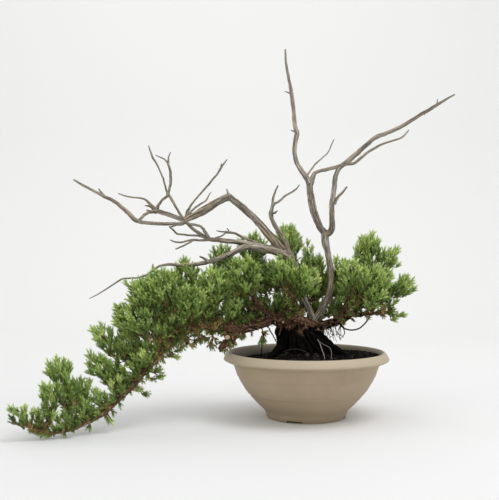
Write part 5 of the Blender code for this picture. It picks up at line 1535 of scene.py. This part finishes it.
def needle_whorl(tree, ask, index):
    half_width = times(ask["Needle Width"], 0.5)
    needle = add(tree, "GeometryNodeMeshCone",
                 {"Vertices": 3, "Side Segments": 1, "Fill Segments": 1, "Radius Top": 0.0,
                  "Radius Bottom": half_width, "Depth": ask["Needle Length"]}).outputs[0]
    height = parts_of(add(tree, "GeometryNodeInputPosition").outputs[0])[2]
    needle = store(tree, needle, "tip", calc("DIVIDE", height, ask["Needle Length"]))
    tilt = add(tree, "ShaderNodeCombineXYZ", {0: ask["Opening"]}).outputs[0]
    needle = add(tree, "GeometryNodeTransform", {"Geometry": needle, "Rotation": tilt}).outputs[0]
    three = add(tree, "GeometryNodeMeshCircle", {"Vertices": 3, "Radius": STEM_RING}).outputs[0]
    third = plus(times(index, math.tau / 3), math.pi / 2)
    whorl = add(tree, "GeometryNodeInstanceOnPoints", {"Points": three, "Instance": needle,
                                                       "Rotation": about_z(tree, third)}).outputs[0]
    return add(tree, "GeometryNodeRealizeInstances", {0: whorl}).outputs[0]


# %% Geometry Nodes: whorls along the leafy twigs
def whorls_along(tree, ask, index, twigs):
    leafy = add(tree, "FunctionNodeCompare", {0: named(tree, "leafy"), 1: 0.5},
                operation="LESS_THAN").outputs[0]
    shoots = add(tree, "GeometryNodeDeleteGeometry", {"Geometry": twigs, "Selection": leafy},
                 domain="POINT").outputs[0]
    steps = add(tree, "GeometryNodeResampleCurve", {"Curve": shoots, "Length": ask["Whorl Gap"]},
                mode="LENGTH").outputs[0]
    along = add(tree, "GeometryNodeSplineParameter").outputs["Factor"]
    open_share = add(tree, "ShaderNodeMapRange", {0: along, 1: 0.5, 2: 1.0, 3: 1.0, 4: 0.6},
                     interpolation_type="SMOOTHSTEP").outputs[0]
    size = random_between(ask["Seed"], 0.82, 1.15)
    across = times(open_share, size)
    scale = add(tree, "ShaderNodeCombineXYZ", {0: across, 1: across, 2: size}).outputs[0]
    tangent = add(tree, "GeometryNodeInputTangent").outputs[0]
    ahead = add(tree, "FunctionNodeAlignRotationToVector", {"Vector": tangent}, axis="Z").outputs[0]
    sixth = plus(times(index, math.tau / 6), random_between(ask["Seed"], -0.35, 0.35))
    whorls = add(tree, "GeometryNodeInstanceOnPoints",
                 {"Points": steps, "Instance": needle_whorl(tree, ask, index),
                  "Rotation": turned_by(tree, ahead, about_z(tree, sixth)), "Scale": scale}).outputs[0]
    whorls = add(tree, "GeometryNodeRealizeInstances", {0: whorls}).outputs[0]
    island = add(tree, "GeometryNodeInputMeshIsland").outputs[0]
    return store(tree, whorls, "shade", random_between(ask["Seed"], 0.0, 1.0, ID=island))


# %% Geometry Nodes: twigs with their needles
def needled_twigs():
    tree, ask, result = new_group(
        "needled_twigs", "GeometryNodeTree",
        {"Geometry": "Geometry", "Needle Length": 0.0066, "Needle Width": 0.0028, "Whorl Gap": 0.0033,
         "Opening": 0.44, "Lowest": "Vector", "Highest": "Vector", "Seed": 1, "Needles": "Material",
         "Twigs": "Material"}, {"Geometry": "Geometry"})
    twigs = add(tree, "GeometryNodeMeshToCurve", {0: ask["Geometry"]}).outputs[0]
    index = add(tree, "GeometryNodeInputIndex").outputs[0]
    whorls = whorls_along(tree, ask, index, twigs)
    stems = tube(tree, twigs, circle(tree, 3))
    place = add(tree, "GeometryNodeInputPosition").outputs[0]
    for corner, operation in (("Lowest", "MAXIMUM"), ("Highest", "MINIMUM")):
        place = add(tree, "ShaderNodeVectorMath", {0: place, 1: ask[corner]}, operation=operation).outputs[0]
    both = add(tree, "GeometryNodeJoinGeometry")
    for geometry, material in ((stems, ask["Twigs"]), (whorls, ask["Needles"])):
        kept_in = add(tree, "GeometryNodeSetPosition", {"Geometry": geometry, "Position": place}).outputs[0]
        tree.links.new(made_real(tree, kept_in, material), both.inputs[0])
    tree.links.new(both.outputs[0], result[0])
    return tree


NEEDLE_TREE = needled_twigs()
print(NEEDLE_TREE.name, "has", len(NEEDLE_TREE.nodes), "nodes")

# %% [markdown]
# Needles are mid green with a waxy look, lighter and more yellow at the tips of young growth. Deep
# in a spray they are old: darker, then olive, and at last rusty brown, and part of that darkness is
# painted shade. The upper side of each spray is painted lighter, where the light falls on it. The
# twigs carry this as their vigour, each twig has a hue of its own, and each needle knows how near
# its tip a point is.

# %% Green needles and young twigs
def green_needles():
    made, tree, shader = new_material("green_needles", Specular_IOR_Level=0.22, Roughness=0.45)
    age = plus(attribute(tree, "vigour_and_shading"), times(minus(attribute(tree, "hue"), 0.5), 0.38))
    leaf = ramp(age, [(0.0, (0.420, 0.275, 0.115)), (0.05, (0.190, 0.098, 0.034)),
                      (0.13, (0.165, 0.125, 0.028)), (0.24, (0.048, 0.088, 0.011)),
                      (0.40, (0.118, 0.192, 0.030)), (0.58, (0.250, 0.385, 0.084)),
                      (0.95, (0.54, 0.69, 0.235))])
    light = blend_colours(times(attribute(tree, "tip"), 0.28), leaf, (0.54, 0.68, 0.30))
    patches = dust_of(tree, 45.0, 900.0)[0]
    shade = ramp(patches, [(0.3, (0.72, 0.80, 0.80)), (0.7, (1.20, 1.12, 0.95))])
    own = ramp(attribute(tree, "shade"), [(0.0, (0.60, 0.62, 0.62)), (0.6, (1.0, 1.0, 1.0)),
                                          (1.0, (1.30, 1.25, 1.22))])
    feed(shader, Base_Color=blend_colours(1.0, blend_colours(1.0, light, shade, "MULTIPLY"), own, "MULTIPLY"))
    return made


def young_twig():
    made, tree, shader = new_material("young_twig", Roughness=0.8, Specular_IOR_Level=0.2)
    patches = dust_of(tree, 120.0, 900.0)[0]
    feed(shader, Base_Color=ramp(patches, [(0.3, (0.085, 0.045, 0.022)), (0.7, (0.19, 0.115, 0.055))]))
    return made


GREEN = green_needles()
YOUNG_TWIG = young_twig()
print("finishes:", GREEN.name, "and", YOUNG_TWIG.name)

# %% Grow every spray
LOWEST_CORNER = cad_box[0] + Vector((0.0002, 0.0002, 0.0006))
HIGHEST_CORNER = cad_box[1] - Vector((0.0002, 0.0002, 0.0002))
# The right region is painted lighter, as the light falls on that side; the sprout is made darker
REGION_YOUTH_AND_LIGHT = {"right": 0.10, "crown": 0.02, "sprout": -0.24}
total = 0
for region, group in SPRAYS.items():
    for number, spec in enumerate(group, 1):
        name = f"needles_{region}_{number}"
        dice = random.Random(name)
        lines = grow_twigs(spec, dice, REGION_YOUTH_AND_LIGHT.get(region, 0.0))
        for u, v, depth, radius, *lean, youth in TUFTS.get(f"{region}_{number}", ()):
            lines.extend(grow_twigs((*spot(u, v, depth), 0.001 * radius, *lean), dice, youth))
        lines.extend(joined[f"{region}_{number}"])
        mesh = line_mesh(name, lines, ["girth", "leafy", "vigour_and_shading", "hue"])
        piece = grown(name, mesh, NEEDLE_TREE, {"Seed": number, "Needles": GREEN, "Twigs": YOUNG_TWIG,
                                                "Lowest": LOWEST_CORNER, "Highest": HIGHEST_CORNER})
        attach(piece, "root")
        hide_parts(f"foliage_{region}_{number}")
        total += sum(len(face.vertices) - 2 for face in piece.data.polygons)
print("needles and twigs:", total, "triangles")
